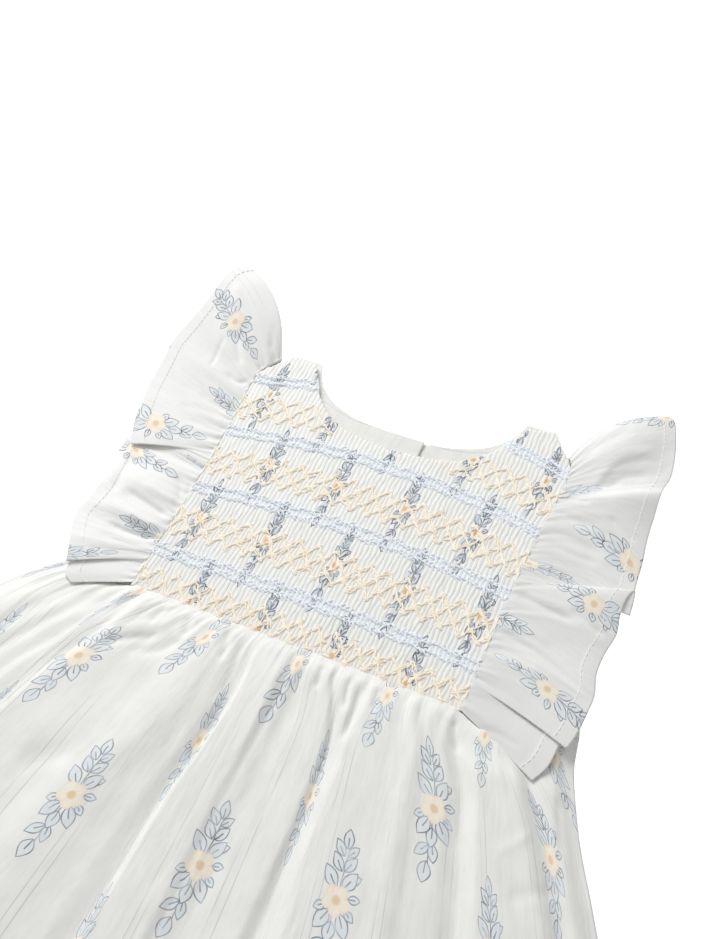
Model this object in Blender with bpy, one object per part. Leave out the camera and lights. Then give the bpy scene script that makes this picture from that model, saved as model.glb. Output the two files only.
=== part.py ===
"""Toddler dress laid flat and face up: smocked front, flutter sleeves, gathered skirt.

Frame: +X to the right of the dress as it lies, +Y towards the neck, +Z up from the
surface.  Sizes are in centimetres, as on a paper pattern, measured from the middle of
the waist seam, and become metres where a mesh is made (to_metres).
"""

import math
from collections import namedtuple

import bmesh
import bpy
from mathutils import Vector

CM = 0.01

# Cloth and the stack of layers, from the surface up.
WALL = 0.12
LAYER_GAP = 0.03
SEAM_GAP = 0.03
LAYER_STEP = WALL + LAYER_GAP

# Lengths along Y.
SKIRT_LENGTH = 27.5
HEM_RISE_AT_SIDES = 1.8
WAIST_FROM_CENTRE = 0.58

# Front: half-width of the smocked panel at heights above the waist.
PleatedWidth = namedtuple("PleatedWidth", "y half_width")
PLEATED_WIDTHS = (
    PleatedWidth(0.0, 10.0),
    PleatedWidth(8.0, 10.25),
    PleatedWidth(13.0, 10.6),
    PleatedWidth(17.0, 11.0),
    PleatedWidth(22.0, 11.1),
)

# Front: top outline, from the centre of the neck out to the sleeve seam.
Outline = namedtuple("Outline", "x y")
FRONT_TOP = (
    Outline(0.0, 15.4),
    Outline(2.8, 15.7),
    Outline(4.3, 16.2),
    Outline(5.3, 17.0),
    Outline(6.2, 18.0),
    Outline(6.9, 19.4),
    Outline(7.6, 20.6),
    Outline(9.3, 21.0),
    Outline(9.8, 20.2),
    Outline(10.6, 19.1),
    Outline(11.0, 18.4),
)

# Smocking: pleats, the rows of stitches that hold them, and their relief.
PLEATS = 76
PLEAT_HEIGHT = 0.16
STITCH_DIP = 0.05
ROW_SAG = 0.083
DIAMOND = 1.08
DIAMOND_PULL = 0.07
MARGIN_UNDER_TOP = 0.35

StitchRow = namedtuple("StitchRow", "y kind")
SMOCK_ROWS = (
    StitchRow(0.45, "diamond"),
    StitchRow(1.35, "counter"),
    StitchRow(3.1, "cable"),
    StitchRow(4.2, "free"),
    StitchRow(5.4, "diamond"),
    StitchRow(6.3, "counter"),
    StitchRow(7.5, "free"),
    StitchRow(8.6, "cable"),
    StitchRow(9.7, "free"),
    StitchRow(10.85, "diamond"),
    StitchRow(11.75, "counter"),
    StitchRow(12.9, "free"),
    StitchRow(14.0, "cable"),
    StitchRow(15.1, "free"),
    StitchRow(16.25, "diamond"),
    StitchRow(17.15, "counter"),
    StitchRow(18.3, "free"),
    StitchRow(19.4, "cable"),
)

# Plain side panels of the front and the outline of the back, half of each side.
ArmholeEdge = namedtuple("ArmholeEdge", "y front back")
ARMHOLE = (
    ArmholeEdge(6.2, 15.0, 15.2),
    ArmholeEdge(6.7, 13.9, 14.5),
    ArmholeEdge(7.6, 12.7, 13.6),
    ArmholeEdge(9.2, 11.7, 12.6),
    ArmholeEdge(11.4, 10.7, 11.8),
    ArmholeEdge(15.0, 10.7, 11.1),
    ArmholeEdge(18.6, 10.7, 10.6),
    ArmholeEdge(20.3, 10.7, 9.9),
    ArmholeEdge(21.3, 10.7, 9.2),
)
UNDERARM_Y = 6.2
UNDERARM_INSET = {"a": 0.7, "b": 0.0}
SIDE_PANEL_TOP = 11.4
SIDE_PANEL_TIP = 0.4

BACK_NECK = (
    Outline(0.0, 17.1),
    Outline(2.3, 17.22),
    Outline(3.5, 17.45),
    Outline(5.1, 18.1),
    Outline(6.3, 19.1),
    Outline(7.0, 20.2),
    Outline(7.4, 21.3),
)

# Centre-back placket: one half laps over the other inside the dress.  edge is where
# a half ends, top its neck height there, corner where its neckline starts to climb.
BackHalf = namedtuple("BackHalf", "name side edge top corner laps")
BACK_HALVES = (
    BackHalf("back_bodice_over", "a", 1.7, 17.1, 1.35, True),
    BackHalf("back_bodice_under", "b", -0.5, 17.02, 2.0, False),
)
CORNER_RISE = 0.02
PLACKET_STEP_END = -1.3
PLACKET_STEP_START = -0.7

# Waist: each side's half-width and how far the seam climbs towards the side.
SIDES = {"a": -1.0, "b": 1.0}
WAIST_HALF_WIDTH = {"a": 14.5, "b": 16.1}
WAIST_CLIMB = {"a": 0.2, "b": 1.1}
CLIMB_STARTS = 10.0

# Skirt: half-widths below the waist.
SkirtWidth = namedtuple("SkirtWidth", "depth a b")
SKIRT_WIDTHS = (
    SkirtWidth(0.0, 14.5, 16.1),
    SkirtWidth(1.5, 16.0, 16.3),
    SkirtWidth(3.0, 17.1, 16.8),
    SkirtWidth(5.0, 18.2, 17.6),
    SkirtWidth(7.5, 19.3, 18.8),
    SkirtWidth(14.0, 21.9, 21.7),
    SkirtWidth(20.0, 23.9, 23.8),
    SkirtWidth(27.5, 26.0, 26.0),
)

GATHERS = 34
GATHER_HEIGHT = 0.13
GATHER_REACH = 1.9
PUFF_HEIGHT = 0.6
PUFF_START = 0.7
PUFF_REACH = 9.0
GATHERED_DEPTHS = (0.0, 0.6, 1.5, 2.8)
DRAPED_DEPTHS = (4.6, 7.0, 10.0, 14.0, 18.5, 23.0, 27.5)

# Skirt folds: where each ridge runs at four depths, its height and the reach of its
# two slopes.
Fold = namedtuple("Fold", "waist upper middle hem height slope_a slope_b")
FOLD_DEPTHS = (1.0, 6.0, 14.0, 27.5)
SKIRT_FOLDS = (
    Fold(-12.6, -16.4, -19.6, -23.2, 0.35, 0.9, 1.1),
    Fold(-10.4, -13.9, -17.0, -20.4, 0.45, 0.8, 1.0),
    Fold(-8.2, -11.0, -13.4, -16.6, 0.30, 0.9, 1.4),
    Fold(-5.2, -7.0, -8.3, -10.6, 0.35, 1.6, 1.6),
    Fold(-0.6, -1.0, -1.8, -3.2, 0.75, 0.6, 1.3),
    Fold(1.6, 2.3, 2.6, 2.9, 0.30, 0.8, 0.7),
    Fold(3.1, 4.3, 4.1, 5.0, 0.45, 0.5, 0.4),
    Fold(5.4, 6.8, 7.4, 8.6, 0.40, 1.0, 1.2),
    Fold(7.5, 9.2, 10.9, 13.0, 0.50, 0.5, 0.5),
    Fold(8.9, 10.8, 12.8, 15.6, 0.50, 0.5, 0.5),
    Fold(10.5, 12.6, 14.9, 18.2, 0.45, 0.5, 0.6),
    Fold(11.4, 15.3, 18.2, 21.4, 0.50, 0.7, 0.6),
    Fold(13.4, 17.0, 20.0, 23.6, 0.30, 0.6, 0.6),
)

# Flutter sleeves: each row is one station of the gathered strip.  seam is the height
# of its sewn end on the front or back seam; out, y and z place its hemmed end; mid is
# its height half-way across and bow how far it curves up towards the neck there.
Station = namedtuple("Station", "layer seam out y z mid bow", defaults=(0.0,))
FLUTTER_A = (
    Station("front", 0.25, 13.2, -1.2, 0.80, 0.76),
    Station("front", 0.55, 13.8, -0.8, 0.90, 0.84),
    Station("front", 0.80, 14.0, -0.1, 0.82, 0.76),
    Station("front", 1.10, 14.3, 0.7, 0.70, 0.62),
    Station("front", 1.40, 14.5, 1.1, 0.90, 0.82),
    Station("front", 1.70, 14.4, 0.5, 1.10, 1.02),
    Station("front", 2.00, 14.1, -0.2, 1.30, 1.18),
    Station("front", 2.35, 14.4, 0.5, 1.50, 1.36),
    Station("front", 2.7, 14.9, 1.5, 1.15, 1.15),
    Station("front", 3.5, 15.6, 3.1, 0.85, 0.90),
    Station("front", 4.3, 15.4, 4.2, 0.90, 1.10),
    Station("front", 5.3, 15.4, 5.3, 1.00, 0.92),
    Station("front", 6.5, 15.6, 6.7, 0.85, 1.05),
    Station("front", 7.8, 15.9, 8.2, 0.65, 0.80),
    Station("front", 9.1, 16.0, 9.6, 0.52, 0.60),
    Station("front", 9.8, 15.9, 10.5, 0.72, 0.70),
    Station("front", 10.3, 15.8, 10.0, 0.96, 0.86),
    Station("front", 10.9, 15.4, 9.1, 1.24, 1.06),
    Station("front", 11.5, 15.8, 10.0, 1.50, 1.26),
    Station("front", 12.5, 16.4, 11.7, 1.30, 1.16),
    Station("front", 13.6, 16.9, 14.0, 1.30, 1.00),
    Station("front", 14.7, 17.1, 16.0, 1.40, 1.10),
    Station("front", 15.8, 17.3, 18.1, 1.60, 1.20),
    Station("front", 16.9, 17.1, 20.0, 1.80, 1.20),
    Station("front", 17.9, 16.9, 22.0, 2.00, 1.40),
    Station("front", 18.7, 16.8, 24.0, 2.30, 1.60, 0.2),
    Station("front", 19.5, 16.5, 25.6, 2.55, 2.00, 0.6),
    Station("front", 20.2, 15.5, 26.3, 2.50, 2.00, 0.9),
    Station("back", 19.9, 15.3, 25.2, 1.70, 1.10, 0.7),
    Station("back", 19.2, 15.7, 23.4, 0.60, 0.30, 0.3),
    Station("back", 18.2, 16.0, 21.2, 0.05, 0.05),
    Station("back", 16.4, 16.2, 18.2, 0.05, 0.05),
    Station("back", 13.8, 16.1, 15.0, 0.05, 0.05),
    Station("back", 11.2, 15.9, 12.0, 0.05, 0.05),
    Station("back", 9.0, 15.4, 9.6, 0.05, 0.05),
    Station("back", 7.8, 15.0, 8.2, 0.05, 0.05),
)
FLUTTER_B = (
    Station("front", 0.10, 14.5, -2.2, 0.85, 0.80),
    Station("front", 0.40, 15.0, -1.3, 0.95, 0.90),
    Station("front", 0.70, 15.2, -0.2, 0.82, 0.74),
    Station("front", 1.05, 15.3, 1.0, 0.68, 0.60),
    Station("front", 1.35, 15.5, 1.5, 0.88, 0.80),
    Station("front", 1.65, 15.5, 0.8, 1.04, 1.00),
    Station("front", 1.95, 15.6, 0.0, 1.28, 1.20),
    Station("front", 2.35, 15.9, 0.9, 1.52, 1.42),
    Station("front", 2.8, 16.1, 2.3, 1.15, 1.15),
    Station("front", 3.7, 16.2, 3.5, 0.85, 1.20),
    Station("front", 4.6, 16.0, 4.8, 0.78, 0.85),
    Station("front", 5.5, 16.1, 6.1, 0.85, 0.70),
    Station("front", 6.5, 16.4, 7.5, 1.05, 0.90),
    Station("front", 7.4, 16.3, 8.7, 1.35, 1.15),
    Station("front", 8.2, 16.4, 9.9, 1.60, 1.40),
    Station("front", 8.7, 16.7, 10.5, 1.38, 1.20),
    Station("front", 9.0, 16.8, 9.7, 1.08, 0.98),
    Station("front", 9.3, 16.8, 9.0, 0.78, 0.76),
    Station("front", 9.7, 16.8, 9.9, 0.52, 0.58),
    Station("front", 10.4, 16.7, 11.4, 0.52, 0.60),
    Station("front", 11.6, 16.7, 13.0, 0.60, 0.72),
    Station("front", 12.9, 16.6, 14.7, 0.68, 0.80),
    Station("front", 14.1, 16.6, 16.3, 0.90, 1.00),
    Station("front", 15.1, 16.6, 17.8, 1.20, 1.35),
    Station("front", 15.7, 16.7, 18.7, 1.05, 0.95),
    Station("front", 16.4, 16.9, 19.6, 1.10, 0.80),
    Station("front", 17.3, 16.8, 21.2, 1.25, 1.15),
    Station("front", 18.1, 16.5, 23.0, 1.30, 1.55, 0.2),
    Station("front", 18.8, 16.1, 24.3, 1.30, 1.55, 0.5),
    Station("front", 19.3, 15.5, 24.5, 1.05, 1.25, 0.7),
    Station("back", 18.9, 15.3, 23.4, 0.40, 0.60, 0.5),
    Station("back", 18.2, 15.7, 21.6, 0.05, 0.08),
    Station("back", 16.4, 16.1, 18.4, 0.05, 0.05),
    Station("back", 13.8, 16.2, 15.0, 0.05, 0.05),
    Station("back", 11.4, 16.2, 12.0, 0.05, 0.05),
    Station("back", 9.4, 16.0, 9.8, 0.05, 0.05),
    Station("back", 8.2, 15.6, 8.4, 0.05, 0.05),
)
FLUTTER_SEAM_Z = {"front": 0.50, "back": 0.05}
FLUTTER_SEAM_GAP = 0.05
FLUTTER_WALL = 0.10
SHOULDER_EASE = 0.25
CORNER_EASE = 0.12
SHOULDER_SLOPE = 0.56
SHOULDER_STARTS = 18.6
STATION_STEPS = 2
ACROSS_STEPS = 5

# Finishes.
Finish = namedtuple("Finish", "name colour roughness")
PRINTED_VOILE = Finish("printed_voile", (0.90, 0.89, 0.87), 0.85)
PLAIN_VOILE = Finish("plain_voile", (0.88, 0.88, 0.86), 0.85)
PLEATED_VOILE = Finish("pleated_voile", (0.91, 0.90, 0.87), 0.9)

# A cloth wall is rows of Thread points: a place along the row, then both faces.
Thread = namedtuple("Thread", "along outer inner")


def to_metres(point):
    """Pattern centimetres to metres in the part's frame."""
    return Vector((point[0] * CM, (point[1] + WAIST_FROM_CENTRE) * CM, point[2] * CM))


def smooth_step(start, end, value):
    """0 before start, 1 after end, smooth between."""
    part = min(1.0, max(0.0, (value - start) / (end - start)))
    return part * part * (3.0 - 2.0 * part)


def blend(first, second, part):
    return first + (second - first) * part


def curve_at(places, values, place):
    """A smooth curve through values at rising places, read at one place."""
    if place <= places[0]:
        return values[0]
    if place >= places[-1]:
        return values[-1]
    k = next(i for i in range(1, len(places)) if place <= places[i]) - 1

    def slope(i):
        low = max(i - 1, 0)
        high = min(i + 1, len(places) - 1)
        return (values[high] - values[low]) / (places[high] - places[low])

    span = places[k + 1] - places[k]
    t = (place - places[k]) / span
    rise = values[k + 1] - values[k]
    start = slope(k) * span
    end = slope(k + 1) * span
    return (
        values[k]
        + start * t
        + (3.0 * rise - 2.0 * start - end) * t * t
        + (start + end - 2.0 * rise) * t * t * t
    )


def line_at(places, values, place):
    """Straight runs through values at rising places, read at one place."""
    if place <= places[0]:
        return values[0]
    for i in range(1, len(places)):
        if place <= places[i]:
            part = (place - places[i - 1]) / (places[i] - places[i - 1])
            return blend(values[i - 1], values[i], part)
    return values[-1]


def column(table, name):
    return [getattr(row, name) for row in table]


def pleated_half_width(y):
    return curve_at(column(PLEATED_WIDTHS, "y"), column(PLEATED_WIDTHS, "half_width"), y)


def waist_y(x):
    """The waist seam's height: level in the middle, climbing towards each side."""
    side = "a" if x < 0.0 else "b"
    reach = WAIST_HALF_WIDTH[side] - CLIMB_STARTS
    part = max(0.0, (abs(x) - CLIMB_STARTS) / reach)
    return WAIST_CLIMB[side] * part * part


def make_material(finish):
    material = bpy.data.materials.get(finish.name)
    if material:
        return material
    material = bpy.data.materials.new(finish.name)
    material.use_nodes = True
    shader = material.node_tree.nodes["Principled BSDF"]
    shader.inputs["Base Color"].default_value = (*finish.colour, 1.0)
    shader.inputs["Roughness"].default_value = finish.roughness
    shader.inputs["Metallic"].default_value = 0.0
    return material


def zip_rows(first, second):
    """Faces between two rows of Threads, as (row, index) corners."""
    faces = []
    i = 0
    j = 0
    while i < len(first) - 1 or j < len(second) - 1:
        next_i = first[i + 1].along if i < len(first) - 1 else math.inf
        next_j = second[j + 1].along if j < len(second) - 1 else math.inf
        if abs(next_i - next_j) < 1e-6:
            faces.append(((0, i), (0, i + 1), (1, j + 1), (1, j)))
            i += 1
            j += 1
        elif next_i < next_j:
            faces.append(((0, i), (0, i + 1), (1, j)))
            i += 1
        else:
            faces.append(((0, i), (1, j + 1), (1, j)))
            j += 1
    return faces


def rim_of(rows):
    """The wall's edge as (row, index), once round."""
    last = len(rows) - 1
    rim = [(0, i) for i in range(len(rows[0]))]
    rim += [(r, len(rows[r]) - 1) for r in range(1, last)]
    rim += [(last, i) for i in reversed(range(len(rows[last])))]
    rim += [(r, 0) for r in reversed(range(1, last))]
    return rim


def cloth_wall(name, rows, finish, plain_inside=False):
    """One closed cloth wall; with plain_inside its inner face is one flat face."""
    mesh = bmesh.new()
    rim = rim_of(rows)
    outer = [[mesh.verts.new(to_metres(t.outer)) for t in row] for row in rows]
    kept = set(rim)
    inner = [
        [
            mesh.verts.new(to_metres(t.inner)) if not plain_inside or (r, i) in kept else None
            for i, t in enumerate(row)
        ]
        for r, row in enumerate(rows)
    ]
    for r in range(len(rows) - 1):
        for corners in zip_rows(rows[r], rows[r + 1]):
            mesh.faces.new([outer[r + step][i] for step, i in corners])
            if not plain_inside:
                mesh.faces.new([inner[r + step][i] for step, i in reversed(corners)])
    if plain_inside:
        mesh.faces.new([inner[r][i] for r, i in reversed(rim)])
    for here, there in zip(rim, rim[1:] + rim[:1]):
        mesh.faces.new(
            (
                outer[there[0]][there[1]],
                outer[here[0]][here[1]],
                inner[here[0]][here[1]],
                inner[there[0]][there[1]],
            )
        )
    bmesh.ops.recalc_face_normals(mesh, faces=mesh.faces)
    data = bpy.data.meshes.new(name)
    mesh.to_mesh(data)
    mesh.free()
    data.materials.append(make_material(finish))
    data.shade_smooth()
    data.set_sharp_from_angle(angle=math.radians(50.0))
    piece = bpy.data.objects.new(name, data)
    bpy.context.scene.collection.objects.link(piece)
    return piece


def flat_thread(along, x, y, layer):
    """A Thread of a flat layer, layer steps up from the surface."""
    low = layer * LAYER_STEP
    return Thread(along, (x, y, low + WALL), (x, y, low))


def surface_walls(points, thickness):
    """Both faces of a curved sheet given as a grid of middle points."""
    rows = []
    last_r = len(points) - 1
    for r, row in enumerate(points):
        last_i = len(row) - 1
        threads = []
        for i, point in enumerate(row):
            before = points[max(r - 1, 0)][i]
            after = points[min(r + 1, last_r)][i]
            left = row[max(i - 1, 0)]
            right = row[min(i + 1, last_i)]
            normal = (after - before).cross(right - left).normalized()
            if i == 0:
                normal = Vector((normal.x * 0.2, normal.y * 0.2, normal.z)).normalized()
            faces = [point + normal * (thickness * half) for half in (0.5, -0.5)]
            for face in faces:
                face.z = max(face.z, 0.0)
            threads.append(Thread(float(i), *faces))
        rows.append(threads)
    return rows


# Front ----------------------------------------------------------------------------


def front_top_y(across):
    """Top edge of the pleated panel at a share of its half-width."""
    shares = [p.x / pleated_half_width(p.y) for p in FRONT_TOP]
    return line_at(shares, column(FRONT_TOP, "y"), abs(across))


def diamond_pull(x, kind):
    """How far the honeycomb stitches draw a pleat sideways."""
    if kind not in ("diamond", "counter"):
        return 0.0
    phase = 2.0 * math.pi * x / DIAMOND
    return DIAMOND_PULL * math.sin(phase) * (1.0 if kind == "diamond" else -1.0)


def smocked_column(k, inside_z):
    """One ridge or valley of the pleats, from the waist up to the neck or shoulder."""
    across = 2.0 * k / (2 * PLEATS) - 1.0
    is_ridge = k % 2 == 1
    top = front_top_y(across)
    threads = []
    rows = (StitchRow(0.0, "edge"),) + SMOCK_ROWS
    for row in rows:
        y = row.y * (1.0 - ROW_SAG * across * across) + (SEAM_GAP if row.kind == "edge" else 0.0)
        if y > top - MARGIN_UNDER_TOP:
            break
        x = across * pleated_half_width(y)
        shift = diamond_pull(x, row.kind) if 0 < k < 2 * PLEATS else 0.0
        dip = STITCH_DIP if row.kind in ("cable", "diamond", "counter") else 0.0
        height = WALL + (PLEAT_HEIGHT - dip if is_ridge else 0.0)
        place = (x + shift, y, inside_z + height)
        threads.append(Thread(row.y, place, (x + shift, y, inside_z)))
    x = across * pleated_half_width(top)
    height = WALL + (PLEAT_HEIGHT * 0.6 if is_ridge else 0.0)
    threads.append(Thread(SMOCK_ROWS[-1].y + top, (x, top, inside_z + height), (x, top, inside_z)))
    return threads


def build_smocked_panel():
    inside_z = 2.0 * LAYER_STEP
    columns = [smocked_column(k, inside_z) for k in range(2 * PLEATS + 1)]
    cloth_wall("front_smocked_panel", columns, PLEATED_VOILE, plain_inside=True)


def armhole_edge(side, panel, y):
    """Outer half-width of a bodice panel: side seam, then armhole, then shoulder."""
    edges = []
    for row in ARMHOLE:
        inset = UNDERARM_INSET[side] * (1.0 - smooth_step(UNDERARM_Y, SIDE_PANEL_TOP, row.y))
        edges.append(getattr(row, panel) - inset)
    places = [0.0] + column(ARMHOLE, "y")
    return line_at(places, [WAIST_HALF_WIDTH[side]] + edges, y)


def build_side_panel(side):
    """Plain front panel between the smocking and the side seam."""
    sign = SIDES[side]
    heights = [0.0, 2.0, 4.0] + [y for y in column(ARMHOLE, "y") if y < SIDE_PANEL_TOP]
    heights.append(SIDE_PANEL_TOP - SIDE_PANEL_TIP)
    shares = (0.0, 0.25, 0.5, 0.75, 1.0)
    rows = []
    for y in heights:
        inner = pleated_half_width(y) + SEAM_GAP
        outer = armhole_edge(side, "front", y)
        threads = []
        for share in shares:
            x = sign * blend(inner, outer, share)
            lift = waist_y(x) + SEAM_GAP if y == 0.0 else 0.0
            threads.append(flat_thread(share, x, y + lift, 1.0))
        rows.append(threads)
    cloth_wall("front_side_panel_" + side, rows, PLAIN_VOILE)


# Back -----------------------------------------------------------------------------


def back_neck_x(y):
    return curve_at(column(BACK_NECK, "y"), column(BACK_NECK, "x"), y)


def back_inner_x(half, y):
    """The placket edge up to the neck, then the neckline."""
    if y <= half.top:
        return half.edge
    return SIDES[half.side] * max(half.corner, back_neck_x(y))


def build_back_half(half):
    """Half of the back; the lapped half rises over the other at the placket."""
    heights = {0.0, 3.0, half.top, half.top + CORNER_RISE}
    heights.update(column(ARMHOLE, "y"))
    heights.update(column(BACK_NECK[1:], "y"))
    inside = (-14.0, -12.0, -9.0, -6.0, -3.0, PLACKET_STEP_END, -1.0, PLACKET_STEP_START, 0.0)
    if not half.laps:
        inside = (3.0, 6.0, 9.0, 12.0, 14.0)
    rows = []
    for y in sorted(heights):
        edges = (SIDES[half.side] * armhole_edge(half.side, "back", y), back_inner_x(half, y))
        low = min(edges)
        high = max(edges)
        places = [low] + [x for x in inside if low + 0.3 < x < high - 0.3] + [high]
        threads = []
        for x in places:
            lift = waist_y(x) + SEAM_GAP if y == 0.0 else 0.0
            layer = smooth_step(PLACKET_STEP_END, PLACKET_STEP_START, x) if half.laps else 0.0
            threads.append(flat_thread(x, x, y + lift, layer))
        rows.append(threads)
    cloth_wall(half.name, rows, PLAIN_VOILE)


# Skirt ----------------------------------------------------------------------------


def skirt_place(across, depth):
    """Where a share of the width lies at a depth below the waist."""
    side = "a" if across < 0.0 else "b"
    half = curve_at(column(SKIRT_WIDTHS, "depth"), column(SKIRT_WIDTHS, side), depth)
    x = across * half
    climb = waist_y(across * WAIST_HALF_WIDTH[side]) * math.exp(-depth / 4.0)
    rise = HEM_RISE_AT_SIDES * (depth / SKIRT_LENGTH) * across * across
    return x, climb + rise - depth


def fold_height(x, depth):
    """Height that the long folds add at a place."""
    total = 0.0
    for fold in SKIRT_FOLDS:
        stops = (fold.waist, fold.upper, fold.middle, fold.hem)
        offset = x - curve_at(FOLD_DEPTHS, stops, depth)
        spread = 1.0 + 0.035 * max(0.0, depth - 6.0)
        reach = (fold.slope_a if offset < 0.0 else fold.slope_b) * spread
        total += fold.height * math.exp(-((offset / reach) ** 2))
    return total * smooth_step(0.0, 2.2, depth)


def skirt_height(across, depth):
    """Middle of the front skirt's wall above the surface."""
    x, _ = skirt_place(across, depth)
    base = LAYER_STEP + WALL / 2.0
    held = 0.22 * (1.0 - smooth_step(9.8, 11.0, abs(x))) * math.exp(-depth / 1.5)
    to_side = 1.0 - smooth_step(0.93, 1.0, abs(across))
    under_sleeve = smooth_step(9.4, 10.8, abs(x)) * (1.0 - smooth_step(1.8, 3.4, depth))
    puff = PUFF_HEIGHT * (1.0 - math.exp(-depth / PUFF_START)) * math.exp(-depth / PUFF_REACH)
    waves = 2.0 * math.pi * (GATHERS * (across + 1.0) / 2.0)
    gather = GATHER_HEIGHT * (1.0 - math.cos(waves)) / 2.0 * math.exp(-depth / GATHER_REACH)
    draped = (puff + fold_height(x, depth)) * (1.0 - 0.6 * under_sleeve)
    return base + held + (draped + gather) * to_side


def build_skirt_front():
    rows = []
    for depths, count in ((GATHERED_DEPTHS, 4 * GATHERS), (DRAPED_DEPTHS, 2 * GATHERS)):
        for depth in depths:
            points = []
            for i in range(count + 1):
                across = 2.0 * i / count - 1.0
                x, y = skirt_place(across, depth)
                points.append(Vector((x, y, skirt_height(across, depth))))
            rows.append(points)
    walls = []
    for r, row in enumerate(rows):
        threads = []
        for i, point in enumerate(row):
            left = row[max(i - 1, 0)]
            right = row[min(i + 1, len(row) - 1)]
            slope = (right.z - left.z) / (right.x - left.x)
            normal = Vector((-slope, 0.0, 1.0)).normalized()
            if i in (0, len(row) - 1) or r == 0:
                normal = Vector((0.0, 0.0, 1.0))
            offset = normal * (WALL / 2.0)
            threads.append(Thread(i / (len(row) - 1), point + offset, point - offset))
        walls.append(threads)
    cloth_wall("skirt_front", walls, PRINTED_VOILE)


def build_skirt_back():
    rows = []
    columns = 20
    for depth in GATHERED_DEPTHS + DRAPED_DEPTHS:
        threads = []
        for i in range(columns + 1):
            across = 2.0 * i / columns - 1.0
            x, y = skirt_place(across, depth)
            threads.append(flat_thread(across, x, y, 0.0))
        rows.append(threads)
    cloth_wall("skirt_back", rows, PRINTED_VOILE)


# Flutter sleeves ------------------------------------------------------------------


def flutter_seam(side, layer, y):
    """How far out a station of the strip is sewn."""
    if layer == "back":
        ease = SHOULDER_EASE * smooth_step(16.0, 18.6, y)
        return armhole_edge(side, "back", y) + FLUTTER_SEAM_GAP + ease
    ease = CORNER_EASE * smooth_step(16.0, 18.0, y)
    beside = pleated_half_width(y) + FLUTTER_SEAM_GAP + ease
    return min(beside, beside + SHOULDER_SLOPE * (SHOULDER_STARTS - y))


def station_values(side, stations):
    """Each station as its seam end, its hem end, then its mid height and bow."""
    values = []
    for row in stations:
        seam_end = (flutter_seam(side, row.layer, row.seam), row.seam, FLUTTER_SEAM_Z[row.layer])
        values.append((*seam_end, row.out, row.y, row.z, row.mid, row.bow))
    return values


def point_across(numbers, sign, t):
    """A station's point at a share of the way from its seam to its hem."""
    seam_x, seam_y, seam_z, hem_x, hem_y, hem_z, mid, bow = numbers
    across = Vector((hem_x - seam_x, hem_y - seam_y, 0.0))
    sideways = Vector((-across.y, across.x, 0.0)).normalized()
    hump = 4.0 * t * (1.0 - t)
    x, y, _ = Vector((seam_x, seam_y, 0.0)) + across * t + sideways * (bow * hump)
    z = blend(seam_z, hem_z, t) + hump * (mid - (seam_z + hem_z) / 2.0)
    return Vector((sign * x, y, z))


def build_flutter(side, stations):
    """A gathered strip from the front waist over the shoulder to the underarm."""
    sign = SIDES[side]
    values = station_values(side, stations)
    places = list(range(len(values)))
    grid = []
    for step in range((len(values) - 1) * STATION_STEPS + 1):
        at = step / STATION_STEPS
        numbers = [curve_at(places, series, at) for series in zip(*values)]
        shares = [i / ACROSS_STEPS for i in range(ACROSS_STEPS + 1)]
        grid.append([point_across(numbers, sign, share) for share in shares])
    cloth_wall("flutter_" + side, surface_walls(grid, FLUTTER_WALL), PRINTED_VOILE)


def main():
    for old in list(bpy.data.objects):
        bpy.data.objects.remove(old, do_unlink=True)
    build_smocked_panel()
    for side in SIDES:
        build_side_panel(side)
    for half in BACK_HALVES:
        build_back_half(half)
    build_skirt_front()
    build_skirt_back()
    build_flutter("a", FLUTTER_A)
    build_flutter("b", FLUTTER_B)


main()
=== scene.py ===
"""Looks of a toddler dress laid flat: smocked front, flutter sleeves, gathered skirt.

Sizes are pattern centimetres from the middle of the waist seam: +X to the right of the
dress as it lies, +Y towards the neck, +Z up from the surface.  They become metres in the
frame's own axes where a mesh is made (in_frame).
"""

import itertools
import logging
import math
from dataclasses import dataclass
from enum import Enum
from typing import Callable, NamedTuple, Sequence

import bpy
import numpy as np
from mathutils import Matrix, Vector


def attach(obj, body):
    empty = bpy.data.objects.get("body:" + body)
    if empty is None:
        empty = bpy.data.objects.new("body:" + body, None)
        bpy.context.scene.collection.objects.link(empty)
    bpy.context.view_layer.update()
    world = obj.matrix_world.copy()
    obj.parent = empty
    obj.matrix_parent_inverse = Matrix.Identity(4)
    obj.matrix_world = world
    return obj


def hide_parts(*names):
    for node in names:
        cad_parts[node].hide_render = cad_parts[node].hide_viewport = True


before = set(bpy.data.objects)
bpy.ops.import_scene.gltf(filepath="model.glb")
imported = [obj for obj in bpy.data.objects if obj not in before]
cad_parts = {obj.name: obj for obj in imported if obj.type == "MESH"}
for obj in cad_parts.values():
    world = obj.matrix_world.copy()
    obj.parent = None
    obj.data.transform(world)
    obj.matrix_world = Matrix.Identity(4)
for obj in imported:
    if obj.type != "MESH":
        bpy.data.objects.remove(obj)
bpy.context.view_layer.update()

log = logging.getLogger("dress")

CM = 0.01
WAIST_FROM_CENTRE = 0.58
TURN = 2.0 * math.pi

# Layers of the construction, from the surface up.
WALL = 0.12
SEAM_GAP = 0.03
LAYER_STEP = 0.15
CLOTH = 0.035

WHITE = (1.0, 1.0, 1.0, 1.0)

Array = np.ndarray
Shape = tuple[float, ...]
Socket = bpy.types.NodeSocket
Mesh = bpy.types.Mesh
Material = bpy.types.Material


class Draw(Enum):
    """What each run of random numbers shapes; the value is its seed."""

    PLEATS = 7
    CABLES = 8
    LATTICE = 9
    KNOTS = 10
    WAIST_GATHERS = 11
    SLEEVE_A_GATHERS = 12
    SLEEVE_B_GATHERS = 13
    SLEEVE_SEAM = 14

    def start(self) -> np.random.Generator:
        """The run's random numbers, the same each time."""
        return np.random.default_rng(self.value)


# Numbers and curves ----


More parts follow.
